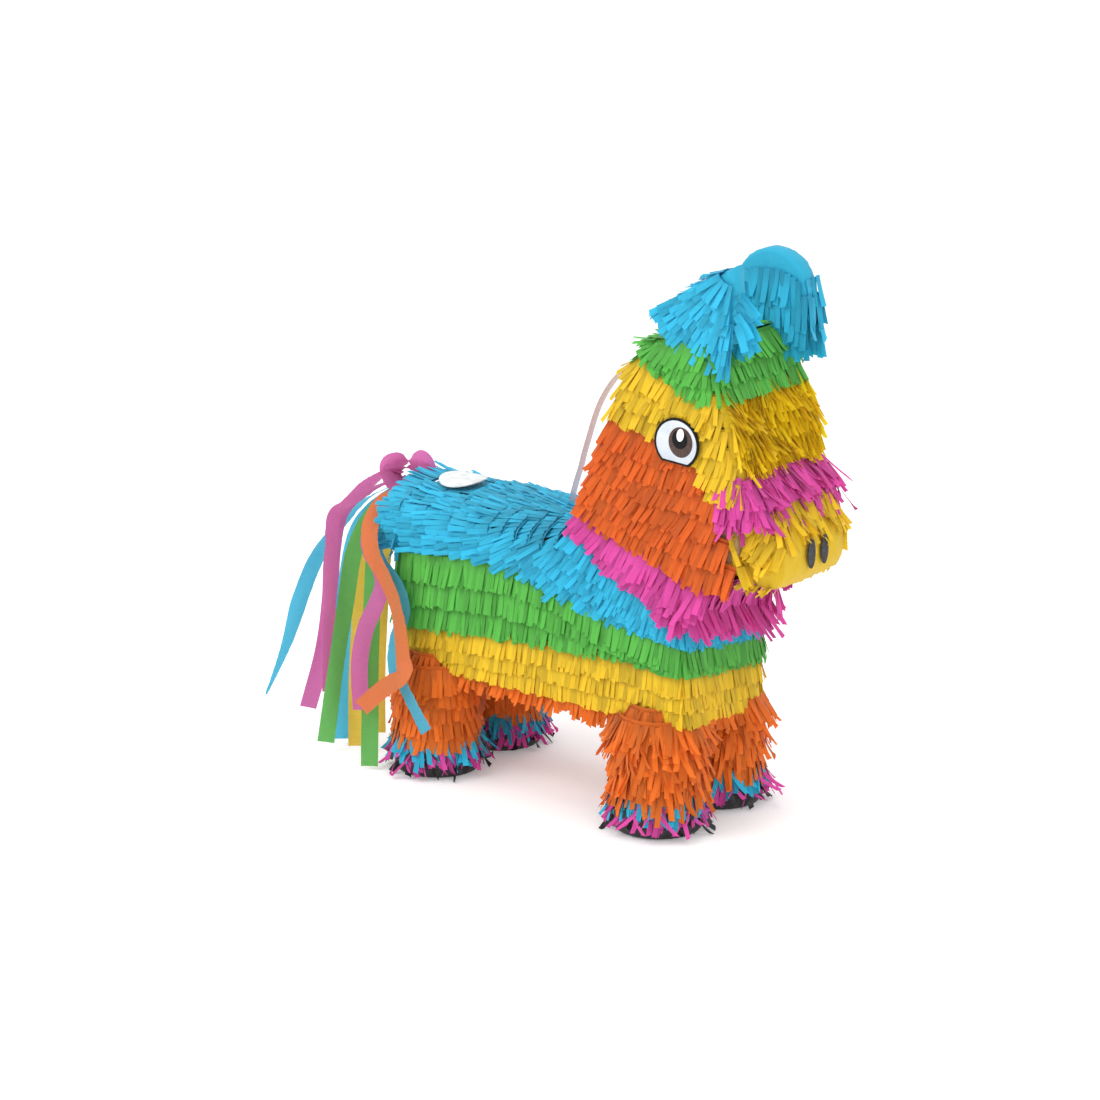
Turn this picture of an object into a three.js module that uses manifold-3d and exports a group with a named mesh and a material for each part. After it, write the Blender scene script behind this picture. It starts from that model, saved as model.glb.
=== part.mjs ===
// Donkey pinata: a hollow card body covered in fringed crepe paper, standing on four hooves.
// Millimetres, +Z up, the donkey looks along +X and its right flank faces -Y.
// The finished group is shifted so that its box is centred on X = Y = 0 and stands on Z = 0.

import * as THREE from 'three';
import { mergeVertices } from 'three/addons/utils/BufferGeometryUtils.js';
import Module from 'manifold-3d';

// ---------- driving dimensions ----------

const CARD = 3; // thickness of the card
const GAP = 0.3; // clearance between touching pieces
const CARD_HALF = 58; // outer face of a side panel, from the middle plane
const STRIP_HALF = CARD_HALF - CARD - GAP; // half width of the strips between the panels
const SKIN_HALF = 68; // outer face of the fringe on the flanks
const BELLY_Z = 104; // underside of the belly card

const CROWN_CARD = 258; // top of the arched back, card
const CROWN_SKIN = 268; // top of the arched back, fringe
const BACK_EDGE_CARD = 236; // where the arch meets a side panel
const BACK_EDGE_SKIN = 240;
const RUMP_X = -157; // rear face of the rump card
const TUFT_X = -184; // rear end of the combed back fringe
const TUFT_FOOT_Z = 232;
const TUFT_HALF = 42; // half width of the tuft over the tail

const MUZZLE_CARD_HALF = 42;
const MUZZLE_SKIN_HALF = 50;

const LEG_X = 126;
const LEG_Y = 46;
const LEG_RADIUS = 32; // outside of the card tube
const LEG_WALL = 2.5;
const LEG_FOOT_Z = 8; // lower end of the card tube
const HOOF_RADIUS = 41;
const HOOF_TOP = 32.6;
const SLEEVE_RADIUS = 44; // orange fringe round the tube
const SLEEVE_TOP = 93.4;
const CUFF_RADIUS = 46;
const CUFF_BOTTOM = 14;

const EAR_Y = 50; // middle plane of an ear
const EAR_FOOT_Z = 442;
const EAR_SKIN_HALF = 12;
const EAR_CLEAR = 10; // height of the ear's fringe above its foot, room for the crease to bend

const EYE_CENTRE = [158, 356];
const EYE_SIZE = [46, 44];
const NOSTRIL_SIZE = [11, 26];
const NOSTRIL_Y = 10;
const NOSTRIL_Z = 264;
const MUZZLE_FRONT = 256;
const STICKER = 1;

const FLAP_X = [-152, -100]; // fill flap, along the back
const FLAP_Y = 27; // half width of the fill flap
const LABEL_RADIUS = 22.5;
const LABEL_Y = -6; // the label sits a little to the right of the flap's middle

const STRAP_WIDTH = 6.5;
const STRAP_THICKNESS = 0.8;
const STREAMER_WIDTH = 16;
const GATHERED_WIDTH = 5; // of a streamer where it leaves the knot
const STREAMER_THICKNESS = 0.8;
const STRAP_STEPS = 30;
const STREAMER_STEPS = 24;
const TIE_Z = 246; // height of the twisted paper that holds the tail in the rump
const TIE_RADIUS = 3;
const TIE_LENGTH = 38;
const INNER_KNOT_RADIUS = 11;
const KNOT_RADII = [8, 9, 10];
const KNOT_Z = 248;

// ---------- colours ----------

const LOOKS = {
  cardboard: [0xb08a5a, 0.85],
  blue: [0x3fb4e3, 0.8],
  green: [0x5bc35a, 0.8],
  yellow: [0xf5ce2e, 0.8],
  orange: [0xf07a2e, 0.8],
  magenta: [0xd64fa6, 0.8],
  black: [0x2a2a2c, 0.75],
  white: [0xf2f2ee, 0.5],
  grey: [0x45454a, 0.6],
};

// ---------- solids ----------

const wasm = await Module();
wasm.setup();

const pinata = new THREE.Group();

/** Turns a closed three.js geometry into a solid that can be joined and cut. */
function solid(geometry) {
  const bare = geometry.index ? geometry.toNonIndexed() : geometry.clone();
  bare.deleteAttribute('normal');
  bare.deleteAttribute('uv');
  const merged = mergeVertices(bare, 1e-4);
  return new wasm.Manifold(new wasm.Mesh({
    numProp: 3,
    vertProperties: new Float32Array(merged.attributes.position.array),
    triVerts: new Uint32Array(merged.index.array),
  }));
}

/** Turns a solid back into a geometry. */
function geometryOf(body) {
  const mesh = body.getMesh();
  const geometry = new THREE.BufferGeometry();
  geometry.setAttribute('position', new THREE.BufferAttribute(new Float32Array(mesh.vertProperties), 3));
  geometry.setIndex(new THREE.BufferAttribute(new Uint32Array(mesh.triVerts), 1));
  geometry.computeVertexNormals();
  return geometry;
}

/** Adds one named piece to the pinata. */
function addPiece(name, look, body) {
  const [color, roughness] = LOOKS[look];
  const material = new THREE.MeshStandardMaterial({ color, roughness, metalness: 0 });
  const mesh = new THREE.Mesh(geometryOf(body), material);
  mesh.name = name;
  pinata.add(mesh);
  return mesh;
}

/** A box from its lowest to its highest corner. */
function box(low, high) {
  const size = high.map((value, i) => value - low[i]);
  const geometry = new THREE.BoxGeometry(...size);
  geometry.translate(...low.map((value, i) => value + size[i] / 2));
  return solid(geometry);
}

function shapeOf(points) {
  return new THREE.Shape(points.map(([a, b]) => new THREE.Vector2(a, b)));
}

/** An outline drawn in the side view (X, Z), extruded across the body from y0 to y1. */
function sidewaysPrism(outline, y0, y1) {
  const shape = outline instanceof THREE.Shape ? outline : shapeOf(outline);
  const options = { depth: y1 - y0, bevelEnabled: false, curveSegments: 10 };
  const geometry = new THREE.ExtrudeGeometry(shape, options);
  geometry.rotateX(Math.PI / 2);
  geometry.translate(0, y1, 0);
  return solid(geometry);
}

/** An outline drawn in the front view (Y, Z), extruded along the body from x0 to x1. */
function lengthwisePrism(outline, x0, x1) {
  const shape = outline instanceof THREE.Shape ? outline : shapeOf(outline);
  const options = { depth: x1 - x0, bevelEnabled: false, curveSegments: 12 };
  const geometry = new THREE.ExtrudeGeometry(shape, options);
  geometry.applyMatrix4(new THREE.Matrix4().set(0, 0, 1, x0, 1, 0, 0, 0, 0, 1, 0, 0, 0, 0, 0, 1));
  return solid(geometry);
}

/** A round bar along Z. */
function upright(radius, z0, z1, x, y, sides = 24) {
  const geometry = new THREE.CylinderGeometry(radius, radius, z1 - z0, sides);
  geometry.rotateX(Math.PI / 2);
  geometry.translate(x, y, (z0 + z1) / 2);
  return solid(geometry);
}

/** Moves each side of a counter-clockwise outline inwards (or outwards, if negative). */
function inset(outline, distance) {
  const count = outline.length;
  const normalAfter = (i) => {
    const [ax, az] = outline[i];
    const [bx, bz] = outline[(i + 1) % count];
    const length = Math.hypot(bx - ax, bz - az);
    return [-(bz - az) / length, (bx - ax) / length];
  };
  return outline.map(([x, z], i) => {
    const [px, pz] = normalAfter((i + count - 1) % count);
    const [nx, nz] = normalAfter(i);
    const reach = distance / (1 + px * nx + pz * nz);
    return [x + (px + nx) * reach, z + (pz + nz) * reach];
  });
}

// ---------- the silhouette ----------

// Card outline of body, neck and head in the side view, counter-clockwise from the rump's foot.
const CARD_OUTLINE = [
  [RUMP_X, BELLY_Z], [154, BELLY_Z], [154, 172], [160, 220], [178, 239], [196, 250], [214, 264],
  [217, 322], [196, 386], [184, 424], [152, 432], [130, 428], [107, 409], [96, 388], [82, 349],
  [58, 284], [44, BACK_EDGE_CARD], [-147, BACK_EDGE_CARD], [RUMP_X, 226],
];

// Outline of the fringe over it.
const SKIN_OUTLINE = [
  [-167, 94], [164, 94], [165, 170], [168, 212], [186, 229], [202, 238], [223, 256],
  [227, 322], [206, 388], [192, 433], [153, 444], [124, 438], [99, 415], [87, 392], [73, 352],
  [49, 287], [37, BACK_EDGE_SKIN + 2], [-168, BACK_EDGE_SKIN + 2],
];

const MUZZLE_CARD = [
  [214 + GAP, 266], [238, 243], [246, 250], [246, 270], [232, 294], [217 + GAP, 318],
];

const MUZZLE_SKIN = [
  [200, 262], [222, 238], [244, 233], [MUZZLE_FRONT, 246],
  [MUZZLE_FRONT, 272], [243, 297], [228, 325], [200, 325],
];

/** The arch of the back, from edge to edge over the crown, closed below at floorZ. */
function archShape(half, edgeZ, crownZ, floorZ) {
  const rise = crownZ - edgeZ;
  const radius = (half * half + rise * rise) / (2 * rise);
  const centre = crownZ - radius;
  const reach = Math.asin(half / radius);
  const shape = new THREE.Shape();
  shape.moveTo(-half, floorZ);
  shape.lineTo(half, floorZ);
  shape.absarc(0, centre, radius, Math.PI / 2 - reach, Math.PI / 2 + reach, false);
  shape.closePath();
  return shape;
}

const archCard = archShape(CARD_HALF, BACK_EDGE_CARD, CROWN_CARD, 200);
const archUnderCard = archShape(CARD_HALF, BACK_EDGE_CARD - CARD, CROWN_CARD - CARD, 190);
const archClear = archShape(CARD_HALF + 2 * GAP, BACK_EDGE_CARD + GAP, CROWN_CARD + GAP, 200);
const archSkin = archShape(SKIN_HALF, BACK_EDGE_SKIN, CROWN_SKIN, 200);

const CHEST_FOOT_X = 140; // the chest strip turns under the belly as far back as this
const NAPE_X = 40; // the arch of the back runs on to here, inside the neck

/** Height of the arch's outer card face at a distance y from the middle plane. */
function backCardHeight(y) {
  const rise = CROWN_CARD - BACK_EDGE_CARD;
  const radius = (CARD_HALF * CARD_HALF + rise * rise) / (2 * rise);
  return CROWN_CARD - radius + Math.sqrt(radius * radius - y * y);
}

// ---------- card body ----------

function flapOpening(margin) {
  return box([FLAP_X[0] - margin, -FLAP_Y - margin, 225], [FLAP_X[1] + margin, FLAP_Y + margin, 290]);
}

const STRAP_FOOT = [-6, 0, 246];
const SLOT_HALF = STRAP_WIDTH / 2 + 1;
const strapSlot = box([STRAP_FOOT[0] - 2, -SLOT_HALF, 225], [STRAP_FOOT[0] + 2, SLOT_HALF, 290]);

function buildCardBody() {
  const inside = inset(CARD_OUTLINE, CARD);
  const neck = sidewaysPrism(inset(CARD_OUTLINE, -GAP), -SKIN_HALF, SKIN_HALF)
    .subtract(box([-200, -90, 90], [NAPE_X, 90, 250]));

  for (const [side, y0] of [['right', -CARD_HALF], ['left', CARD_HALF - CARD]]) {
    addPiece(`side_panel_${side}`, 'cardboard', sidewaysPrism(CARD_OUTLINE, y0, y0 + CARD));
  }

  const underBack = archShape(CARD_HALF, BACK_EDGE_CARD - CARD - GAP, CROWN_CARD - CARD - GAP, 190);
  const backShell = lengthwisePrism(archCard, -200, 0).subtract(lengthwisePrism(underBack, -210, 10));
  const rump = lengthwisePrism(archUnderCard, RUMP_X, RUMP_X + CARD)
    .add(box([RUMP_X, -STRIP_HALF, BELLY_Z], [RUMP_X + CARD, STRIP_HALF, 200]))
    .intersect(box([-200, -STRIP_HALF, 0], [0, STRIP_HALF, CROWN_CARD - CARD - GAP]))
    .subtract(backShell);
  addPiece('rump_strip', 'cardboard', rump.subtract(tailHole(TIE_RADIUS + 1)));

  const back = lengthwisePrism(archCard, RUMP_X, 62)
    .subtract(lengthwisePrism(archUnderCard, RUMP_X - 10, 80))
    .intersect(box([-200, -STRIP_HALF, 190], [100, STRIP_HALF, 290]))
    .subtract(neck)
    .subtract(flapOpening(0))
    .subtract(strapSlot);
  addPiece('back_strip', 'cardboard', back);

  addPiece('belly_strip', 'cardboard',
    box([RUMP_X + CARD + GAP, -STRIP_HALF, BELLY_Z], [CHEST_FOOT_X - GAP, STRIP_HALF, BELLY_Z + CARD]));

  const band = sidewaysPrism(CARD_OUTLINE, -STRIP_HALF, STRIP_HALF)
    .subtract(sidewaysPrism(inside, -CARD_HALF, CARD_HALF));
  const throatEnd = 262;
  const chestZone = [[CHEST_FOOT_X, 90], [240, 90], [240, throatEnd], [185, throatEnd], [145, 200]];
  const napeFoot = BACK_EDGE_CARD + 4;
  const headZone = [[NAPE_X, napeFoot], [70, napeFoot], [120, 330], [185, 330], [185, throatEnd + GAP],
    [240, throatEnd + GAP], [240, 460], [NAPE_X, 460]];
  addPiece('chest_strip', 'cardboard', band.intersect(sidewaysPrism(chestZone, -CARD_HALF, CARD_HALF)));
  const head = band.intersect(sidewaysPrism(headZone, -CARD_HALF, CARD_HALF));
  addPiece('head_strip', 'cardboard', largest(head));

  const muzzle = sidewaysPrism(MUZZLE_CARD, -MUZZLE_CARD_HALF, MUZZLE_CARD_HALF);
  const hollow = sidewaysPrism([[200, 264], [235, 247], [243, 252], [243, 269], [229, 292], [200, 300]],
    -MUZZLE_CARD_HALF + CARD, MUZZLE_CARD_HALF - CARD);
  addPiece('muzzle_box', 'cardboard', muzzle.subtract(hollow));
}

/** The biggest separate lump of a solid. */
function largest(body) {
  const parts = body.decompose();
  return parts.reduce((best, part) => (part.volume() > best.volume() ? part : best));
}

// ---------- fringe over the body, neck and head ----------

const COLLAR_TOP = [[30, 285], [47, 279], [92, 262], [135, 248], [176, 235], [240, 226]];
const COLLAR_FOOT = [[30, 266], [57, 259], [92, 229], [135, 208], [164, 198], [240, 190]];
const BLUE_FOOT = [[-220, 203], [-137, 207], [-42, 216], [30, 210], [70, 192], [161, 181], [240, 180]];
const GREEN_FOOT = [[-220, 138], [-137, 139], [-42, 148], [93, 153], [161, 150], [240, 148]];
const YELLOW_FOOT = [[-220, BELLY_Z - 0.4], [240, BELLY_Z - 0.4]];
const CHEEK_TOP = [[30, 372], [72, 368], [107, 362], [136, 356], [182, 360]];
const CROWN_FOOT = [[30, 424], [114, 422], [148, 410], [173, 396], [240, 392]];

/** The area between two lines that both run towards +X, the lower one first. */
function between(lower, upper) {
  return inset([...lower, ...[...upper].reverse()], GAP / 2);
}

function buildFringe() {
  const tuftLimits = box([-200, -TUFT_HALF, TUFT_FOOT_Z], [0, TUFT_HALF, 290]);
  const outer = sidewaysPrism(SKIN_OUTLINE, -SKIN_HALF, SKIN_HALF)
    .add(sidewaysPrism(MUZZLE_SKIN, -MUZZLE_SKIN_HALF, MUZZLE_SKIN_HALF))
    .add(lengthwisePrism(archSkin, -168, NAPE_X))
    .add(lengthwisePrism(archSkin, TUFT_X, -160).intersect(tuftLimits));
  const core = sidewaysPrism(inset(CARD_OUTLINE, -GAP), -CARD_HALF - GAP, CARD_HALF + GAP)
    .add(sidewaysPrism(inset(MUZZLE_CARD, -GAP), -MUZZLE_CARD_HALF - GAP, MUZZLE_CARD_HALF + GAP))
    .add(lengthwisePrism(archClear, RUMP_X - GAP, 62));
  const skin = outer.subtract(core).subtract(strapSlot).subtract(tailHole(4)).subtract(nostrilFaces());
  const cut = (zone) => largest(skin.intersect(sidewaysPrism(zone, -90, 90)));

  const high = 500;
  const blueZone = between(BLUE_FOOT, [[-220, 300], [24, 300], ...COLLAR_FOOT]);
  addPiece('fringe_back_blue', 'blue', cut(blueZone).subtract(flapOpening(GAP)).subtract(flapGroove()));
  addPiece('fringe_flank_green', 'green', cut(between(GREEN_FOOT, BLUE_FOOT)));
  addPiece('fringe_flank_yellow', 'yellow', cut(between(YELLOW_FOOT, GREEN_FOOT)));

  const belly = cut(between([[-220, 80], [240, 80]], YELLOW_FOOT));
  addPiece('fringe_belly_orange', 'orange', legPlaces()
    .reduce((body, [, x, y]) => body.subtract(upright(LEG_RADIUS + GAP, 60, 120, x, y)), belly));

  addPiece('fringe_collar_magenta', 'magenta', cut(between(COLLAR_FOOT, COLLAR_TOP)));
  const browFront = [[203, 322], [240, 322]];
  const noseRear = [[203, 322], [206, 300], [214, 266], [222, 254]];
  const headZone = inset([...COLLAR_TOP.slice(0, 5), [222, 236], ...[...noseRear].reverse(),
    ...[...CHEEK_TOP].reverse()], GAP / 2);
  addPiece('fringe_head_orange', 'orange', cut(headZone));
  const browZone = inset([...CHEEK_TOP, ...browFront, ...[...CROWN_FOOT].reverse()], GAP / 2);
  addPiece('fringe_brow_yellow', 'yellow', cut(browZone));
  addPiece('fringe_crown_green', 'green', cut(between(CROWN_FOOT, [[30, high], [240, high]])));
  const noseZone = inset([noseRear[3], [224, 262], [226, 290], [236, 300], [262, 298], [262, 322],
    noseRear[0], noseRear[1], noseRear[2]], GAP / 2);
  addPiece('fringe_nose_magenta', 'magenta', cut(noseZone));
  const muzzleZone = inset([[222, 230], [262, 230], [262, 298], [236, 300], [226, 290], [224, 262],
    [222, 254]], GAP / 2);
  addPiece('fringe_muzzle_yellow', 'yellow', cut(muzzleZone));
}

// ---------- fill flap ----------

/** V-shaped relief in the fringe along the flap's crease, so that the flap can swing up. */
function flapGroove() {
  const crease = backCardHeight(FLAP_Y);
  return lengthwisePrism([[FLAP_Y, crease - 1], [FLAP_Y + 26, crease + 22], [FLAP_Y - 24, crease + 22]],
    FLAP_X[0] - GAP, FLAP_X[1] + GAP);
}

function buildFlap() {
  const side = 2 * GAP;
  const window = box([FLAP_X[0] + side, -FLAP_Y + side, 225], [FLAP_X[1] - side, FLAP_Y - side, 290]);
  const card = lengthwisePrism(archCard, FLAP_X[0], FLAP_X[1])
    .subtract(lengthwisePrism(archUnderCard, FLAP_X[0] - 10, FLAP_X[1] + 10));
  addPiece('fill_flap', 'cardboard', card.intersect(window));

  const topOfSkin = CROWN_SKIN - 1.4;
  const pad = lengthwisePrism(archSkin, FLAP_X[0], FLAP_X[1])
    .subtract(lengthwisePrism(archClear, FLAP_X[0] - 10, FLAP_X[1] + 10))
    .intersect(window)
    .intersect(box([-200, -60, 200], [0, 60, topOfSkin]))
    .subtract(flapGroove());
  addPiece('fringe_flap_blue', 'blue', largest(pad));

  const labelTop = archShape(SKIN_HALF, BACK_EDGE_SKIN + GAP + STICKER, CROWN_SKIN + GAP + STICKER, 200);
  const labelFoot = archShape(SKIN_HALF, BACK_EDGE_SKIN + GAP, CROWN_SKIN + GAP, 190);
  const label = upright(LABEL_RADIUS, 240, 280, (FLAP_X[0] + FLAP_X[1]) / 2, LABEL_Y, 32)
    .intersect(lengthwisePrism(labelTop, -200, 0))
    .subtract(lengthwisePrism(labelFoot, -210, 10))
    .subtract(flapGroove());
  addPiece('fill_label', 'white', largest(label));
}

// ---------- legs ----------

function legPlaces() {
  return [
    ['front_right', LEG_X, -LEG_Y], ['front_left', LEG_X, LEG_Y],
    ['rear_right', -LEG_X, -LEG_Y], ['rear_left', -LEG_X, LEG_Y],
  ];
}

/** A ring or cup: an upright bar with a smaller one taken out of it. */
function sleeve(outerRadius, innerRadius, z0, z1, x, y, holeFrom = z0 - 1) {
  return upright(outerRadius, z0, z1, x, y).subtract(upright(innerRadius, holeFrom, z1 + 1, x, y));
}

function buildLegs() {
  for (const [name, x, y] of legPlaces()) {
    addPiece(`leg_tube_${name}`, 'cardboard',
      sleeve(LEG_RADIUS, LEG_RADIUS - LEG_WALL, LEG_FOOT_Z, BELLY_Z - GAP, x, y));
    addPiece(`leg_fringe_${name}`, 'orange',
      sleeve(SLEEVE_RADIUS, LEG_RADIUS + GAP, HOOF_TOP + GAP, SLEEVE_TOP, x, y));
    addPiece(`hoof_${name}`, 'black',
      sleeve(HOOF_RADIUS, LEG_RADIUS + GAP, 0, HOOF_TOP, x, y, LEG_FOOT_Z - GAP));
    addPiece(`cuff_${name}`, 'blue',
      sleeve(CUFF_RADIUS, HOOF_RADIUS + GAP, CUFF_BOTTOM, HOOF_TOP, x, y));
  }
}

// ---------- ears ----------

// The right ear is creased to a point, the left one keeps its round top.
const EAR_RIGHT = [[136, EAR_FOOT_Z], [206, EAR_FOOT_Z], [207, 482], [202, 504], [166, 478], [138, 452]];

function earLeftShape(grow) {
  const radius = 34 + grow;
  const shape = new THREE.Shape();
  shape.moveTo(174 - radius, EAR_FOOT_Z - grow);
  shape.lineTo(174 + radius, EAR_FOOT_Z - grow);
  shape.absarc(174, 468, radius, 0, Math.PI, false);
  shape.closePath();
  return shape;
}

function buildEars() {
  const roots = box([100, -90, 400], [240, 90, EAR_FOOT_Z + EAR_CLEAR]);
  const skinGrow = 6;
  const ears = [
    ['right', -EAR_Y, (grow) => inset(EAR_RIGHT, -grow)],
    ['left', EAR_Y, earLeftShape],
  ];
  for (const [side, y, outline] of ears) {
    const blade = sidewaysPrism(outline(0), y - CARD / 2, y + CARD / 2)
      .intersect(box([100, -90, EAR_FOOT_Z + 4], [240, 90, 600]));
    addPiece(`ear_card_${side}`, 'cardboard', blade);
    const skin = sidewaysPrism(outline(skinGrow), y - EAR_SKIN_HALF, y + EAR_SKIN_HALF)
      .subtract(sidewaysPrism(outline(GAP), y - CARD / 2 - GAP, y + CARD / 2 + GAP))
      .subtract(roots);
    addPiece(`ear_fringe_${side}`, 'blue', skin);
  }
}

// ---------- stickers ----------

/** Rounded eye: a circle with its lower edge cut straight on a slant. */
function eyeShape() {
  const [cx, cz] = EYE_CENTRE;
  const [width, height] = EYE_SIZE;
  const shape = new THREE.Shape();
  const start = -0.316 * Math.PI;
  const end = 1.265 * Math.PI;
  shape.absellipse(cx, cz, width / 2, height / 2, start, end, false, 0);
  shape.closePath();
  return shape;
}

/** Flat bed for the nostril stickers: nothing in front of the muzzle's face. */
function nostrilFaces() {
  return box([MUZZLE_FRONT, -80, 200], [MUZZLE_FRONT + 20, 80, 330]);
}

function buildStickers() {
  const outside = SKIN_HALF + GAP;
  addPiece('eye_sticker_right', 'white', sidewaysPrism(eyeShape(), -outside - STICKER, -outside));
  addPiece('eye_sticker_left', 'white', sidewaysPrism(eyeShape(), outside, outside + STICKER));
  for (const [side, y] of [['right', -NOSTRIL_Y], ['left', NOSTRIL_Y]]) {
    const shape = new THREE.Shape();
    shape.absellipse(y, NOSTRIL_Z, NOSTRIL_SIZE[0] / 2, NOSTRIL_SIZE[1] / 2, 0, 2 * Math.PI, false, 0);
    const front = MUZZLE_FRONT + GAP;
    addPiece(`nostril_sticker_${side}`, 'grey', lengthwisePrism(shape, front, front + STICKER));
  }
}

// ---------- ribbons ----------

/** A flat ribbon along a smooth curve; width(t) and across(t) give its width and the width's direction. */
function ribbon(points, width, thickness, across, steps) {
  const stations = points.map((point) => new THREE.Vector3(...point));
  const curve = new THREE.CatmullRomCurve3(stations, false, 'centripetal');
  const positions = [];
  const corner = (t, side, face) => {
    const tangent = curve.getTangentAt(t);
    const wide = across(t).clone();
    wide.addScaledVector(tangent, -wide.dot(tangent)).normalize();
    const thick = new THREE.Vector3().crossVectors(tangent, wide);
    return curve.getPointAt(t)
      .addScaledVector(wide, side * width(t) / 2)
      .addScaledVector(thick, face * thickness / 2);
  };
  const rings = [];
  for (let i = 0; i <= steps; i += 1) {
    const t = i / steps;
    rings.push([corner(t, -1, -1), corner(t, 1, -1), corner(t, 1, 1), corner(t, -1, 1)]);
  }
  const triangle = (a, b, c) => positions.push(...a.toArray(), ...b.toArray(), ...c.toArray());
  const quad = (a, b, c, d) => {
    triangle(a, b, c);
    triangle(a, c, d);
  };
  for (let i = 0; i < steps; i += 1) {
    for (let k = 0; k < 4; k += 1) {
      const next = (k + 1) % 4;
      quad(rings[i][k], rings[i][next], rings[i + 1][next], rings[i + 1][k]);
    }
  }
  const [first, last] = [rings[0], rings[steps]];
  quad(first[3], first[2], first[1], first[0]);
  quad(last[0], last[1], last[2], last[3]);
  const geometry = new THREE.BufferGeometry();
  geometry.setAttribute('position', new THREE.Float32BufferAttribute(positions, 3));
  return solid(geometry);
}

// The hanging strap stands in an arc from the back, behind the neck, to the nape.
const STRAP_ROUTE = [
  STRAP_FOOT, [-6, 0, 258], [-4, 0, 270], [0, 0, 284], [5, 0, 298], [9, 0, 312], [14, 0, 327], [19, 0, 342],
  [25, 0, 357], [33, 0, 371], [43, 0, 384], [55, 0, 394], [69, 0, 401], [84, 0, 404], [92.5, 0, 404],
];

function buildStrap() {
  const sideways = new THREE.Vector3(0, 1, 0);
  const strap = ribbon(STRAP_ROUTE, () => STRAP_WIDTH, STRAP_THICKNESS, () => sideways, STRAP_STEPS);
  addPiece('hang_strap', 'white', strap);
  addPiece('strap_toggle', 'cardboard',
    box([STRAP_FOOT[0] - 4, -18, STRAP_FOOT[2] - 6], [STRAP_FOOT[0] + 4, 18, STRAP_FOOT[2] - GAP]));
}

// ---------- tail ----------

/** A round bar along X. */
function lengthwiseBar(radius, length, x, z, sides) {
  const geometry = new THREE.CylinderGeometry(radius, radius, length, sides);
  geometry.rotateZ(Math.PI / 2);
  geometry.translate(x, 0, z);
  return solid(geometry);
}

function tailHole(radius) {
  return lengthwiseBar(radius, 60, -165, TIE_Z, 12);
}

const KNOT_X = -194; // middle of the tail knot
const STREAMERS = {
  magenta_left: ['magenta', [0.35, 0.94, 0], [[-199, -6, 261], [-212, -9, 262], [-231, -16, 248],
    [-246, -26, 231], [-258, -36, 217], [-255, -46, 185], [-250, -54, 139], [-245, -62, 52]]],
  magenta_end: ['magenta', [0.5, 0.85, 0], [[-220, 3, 249], [-246, -6, 234], [-270, -14, 210],
    [-273, -24, 172], [-268, -34, 131], [-269, -44, 83], [-283, -52, 25]]],
  blue_long: ['blue', [0.5, 0.8, 0.3], [[-224, 10, 242], [-257, 6, 223], [-284, 2, 197],
    [-310, -2, 163], [-327, -10, 119], [-341, -18, 68], [-362, -26, 15]]],
  blue_middle: ['blue', [0.8, 0.6, 0], [[-221, 2, 239], [-240, -6, 217], [-256, -12, 187],
    [-257, -24, 140], [-246, -42, 88], [-231, -60, 7]]],
  green_left: ['green', [0.7, 0.7, 0], [[-210, -9, 242], [-223, -22, 222], [-232, -38, 188],
    [-228, -56, 144], [-226, -70, 99], [-230, -86, 11]]],
  green_right: ['green', [0.8, 0.6, 0], [[-201, -14, 240], [-202, -34, 226], [-193, -54, 198],
    [-185, -68, 155], [-176, -82, 99], [-167, -96, 4]]],
  yellow_left: ['yellow', [0.8, 0.6, 0], [[-216, 0, 232], [-229, -12, 212], [-235, -22, 183],
    [-226, -38, 140], [-215, -56, 85], [-204, -72, 9]]],
  yellow_right: ['yellow', [0.8, 0.6, 0], [[-201, -6, 231], [-209, -16, 211], [-205, -30, 178],
    [-197, -44, 135], [-187, -60, 92], [-176, -74, 29]]],
  magenta_right: ['magenta', [1, 0.15, 0], [[-201, -11, 251], [-200, -30, 237], [-194, -50, 228],
    [-187, -70, 217], [-175, -80, 204], [-163, -82, 190], [-160, -83, 175], [-166, -86, 156],
    [-175, -90, 133], [-179, -94, 100], [-174, -98, 58]]],
  orange: ['orange', [1, 0.15, 0], [[-192, -16, 250], [-195, -36, 246], [-189, -56, 237],
    [-181, -74, 224], [-169, -85, 207], [-154, -87, 188], [-142, -88, 168], [-134, -90, 146],
    [-120, -102, 120], [-109, -113, 109], [-127, -118, 95], [-155, -120, 70]]],
  blue_right: ['blue', [1, 0.1, 0], [[-190, -13, 243], [-194, -30, 230], [-190, -50, 218],
    [-183, -67, 207], [-171, -75, 196], [-156, -75, 183], [-145, -75, 168], [-140, -77, 150],
    [-144, -83, 132], [-134, -98, 112], [-118, -105, 98], [-88, -107, 58]]],
};

/** Width of a streamer: gathered at the knot, then spreading to its full width. */
function gathered(t) {
  const spread = Math.min(1, t / 0.16);
  return GATHERED_WIDTH + (STREAMER_WIDTH - GATHERED_WIDTH) * spread;
}

function buildTail() {
  const twist = lengthwiseBar(TIE_RADIUS, TIE_LENGTH, -165.5, TIE_Z, 12);
  const innerKnot = lengthwiseBar(INNER_KNOT_RADIUS, 3, -148, TIE_Z - 2, 20);
  addPiece('tail_tie', 'magenta', twist.add(innerKnot));

  const knot = new THREE.SphereGeometry(1, 16, 10);
  knot.scale(...KNOT_RADII);
  knot.translate(KNOT_X, 0, KNOT_Z);
  addPiece('tail_knot', 'magenta', solid(knot));
  for (const [name, [look, wide, points]] of Object.entries(STREAMERS)) {
    const direction = new THREE.Vector3(...wide).normalize();
    const strip = ribbon(points, gathered, STREAMER_THICKNESS, () => direction, STREAMER_STEPS);
    addPiece(`streamer_${name}`, look, strip);
  }
}

// ---------- the whole ----------

buildCardBody();
buildFringe();
buildFlap();
buildLegs();
buildEars();
buildStickers();
buildStrap();
buildTail();

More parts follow.
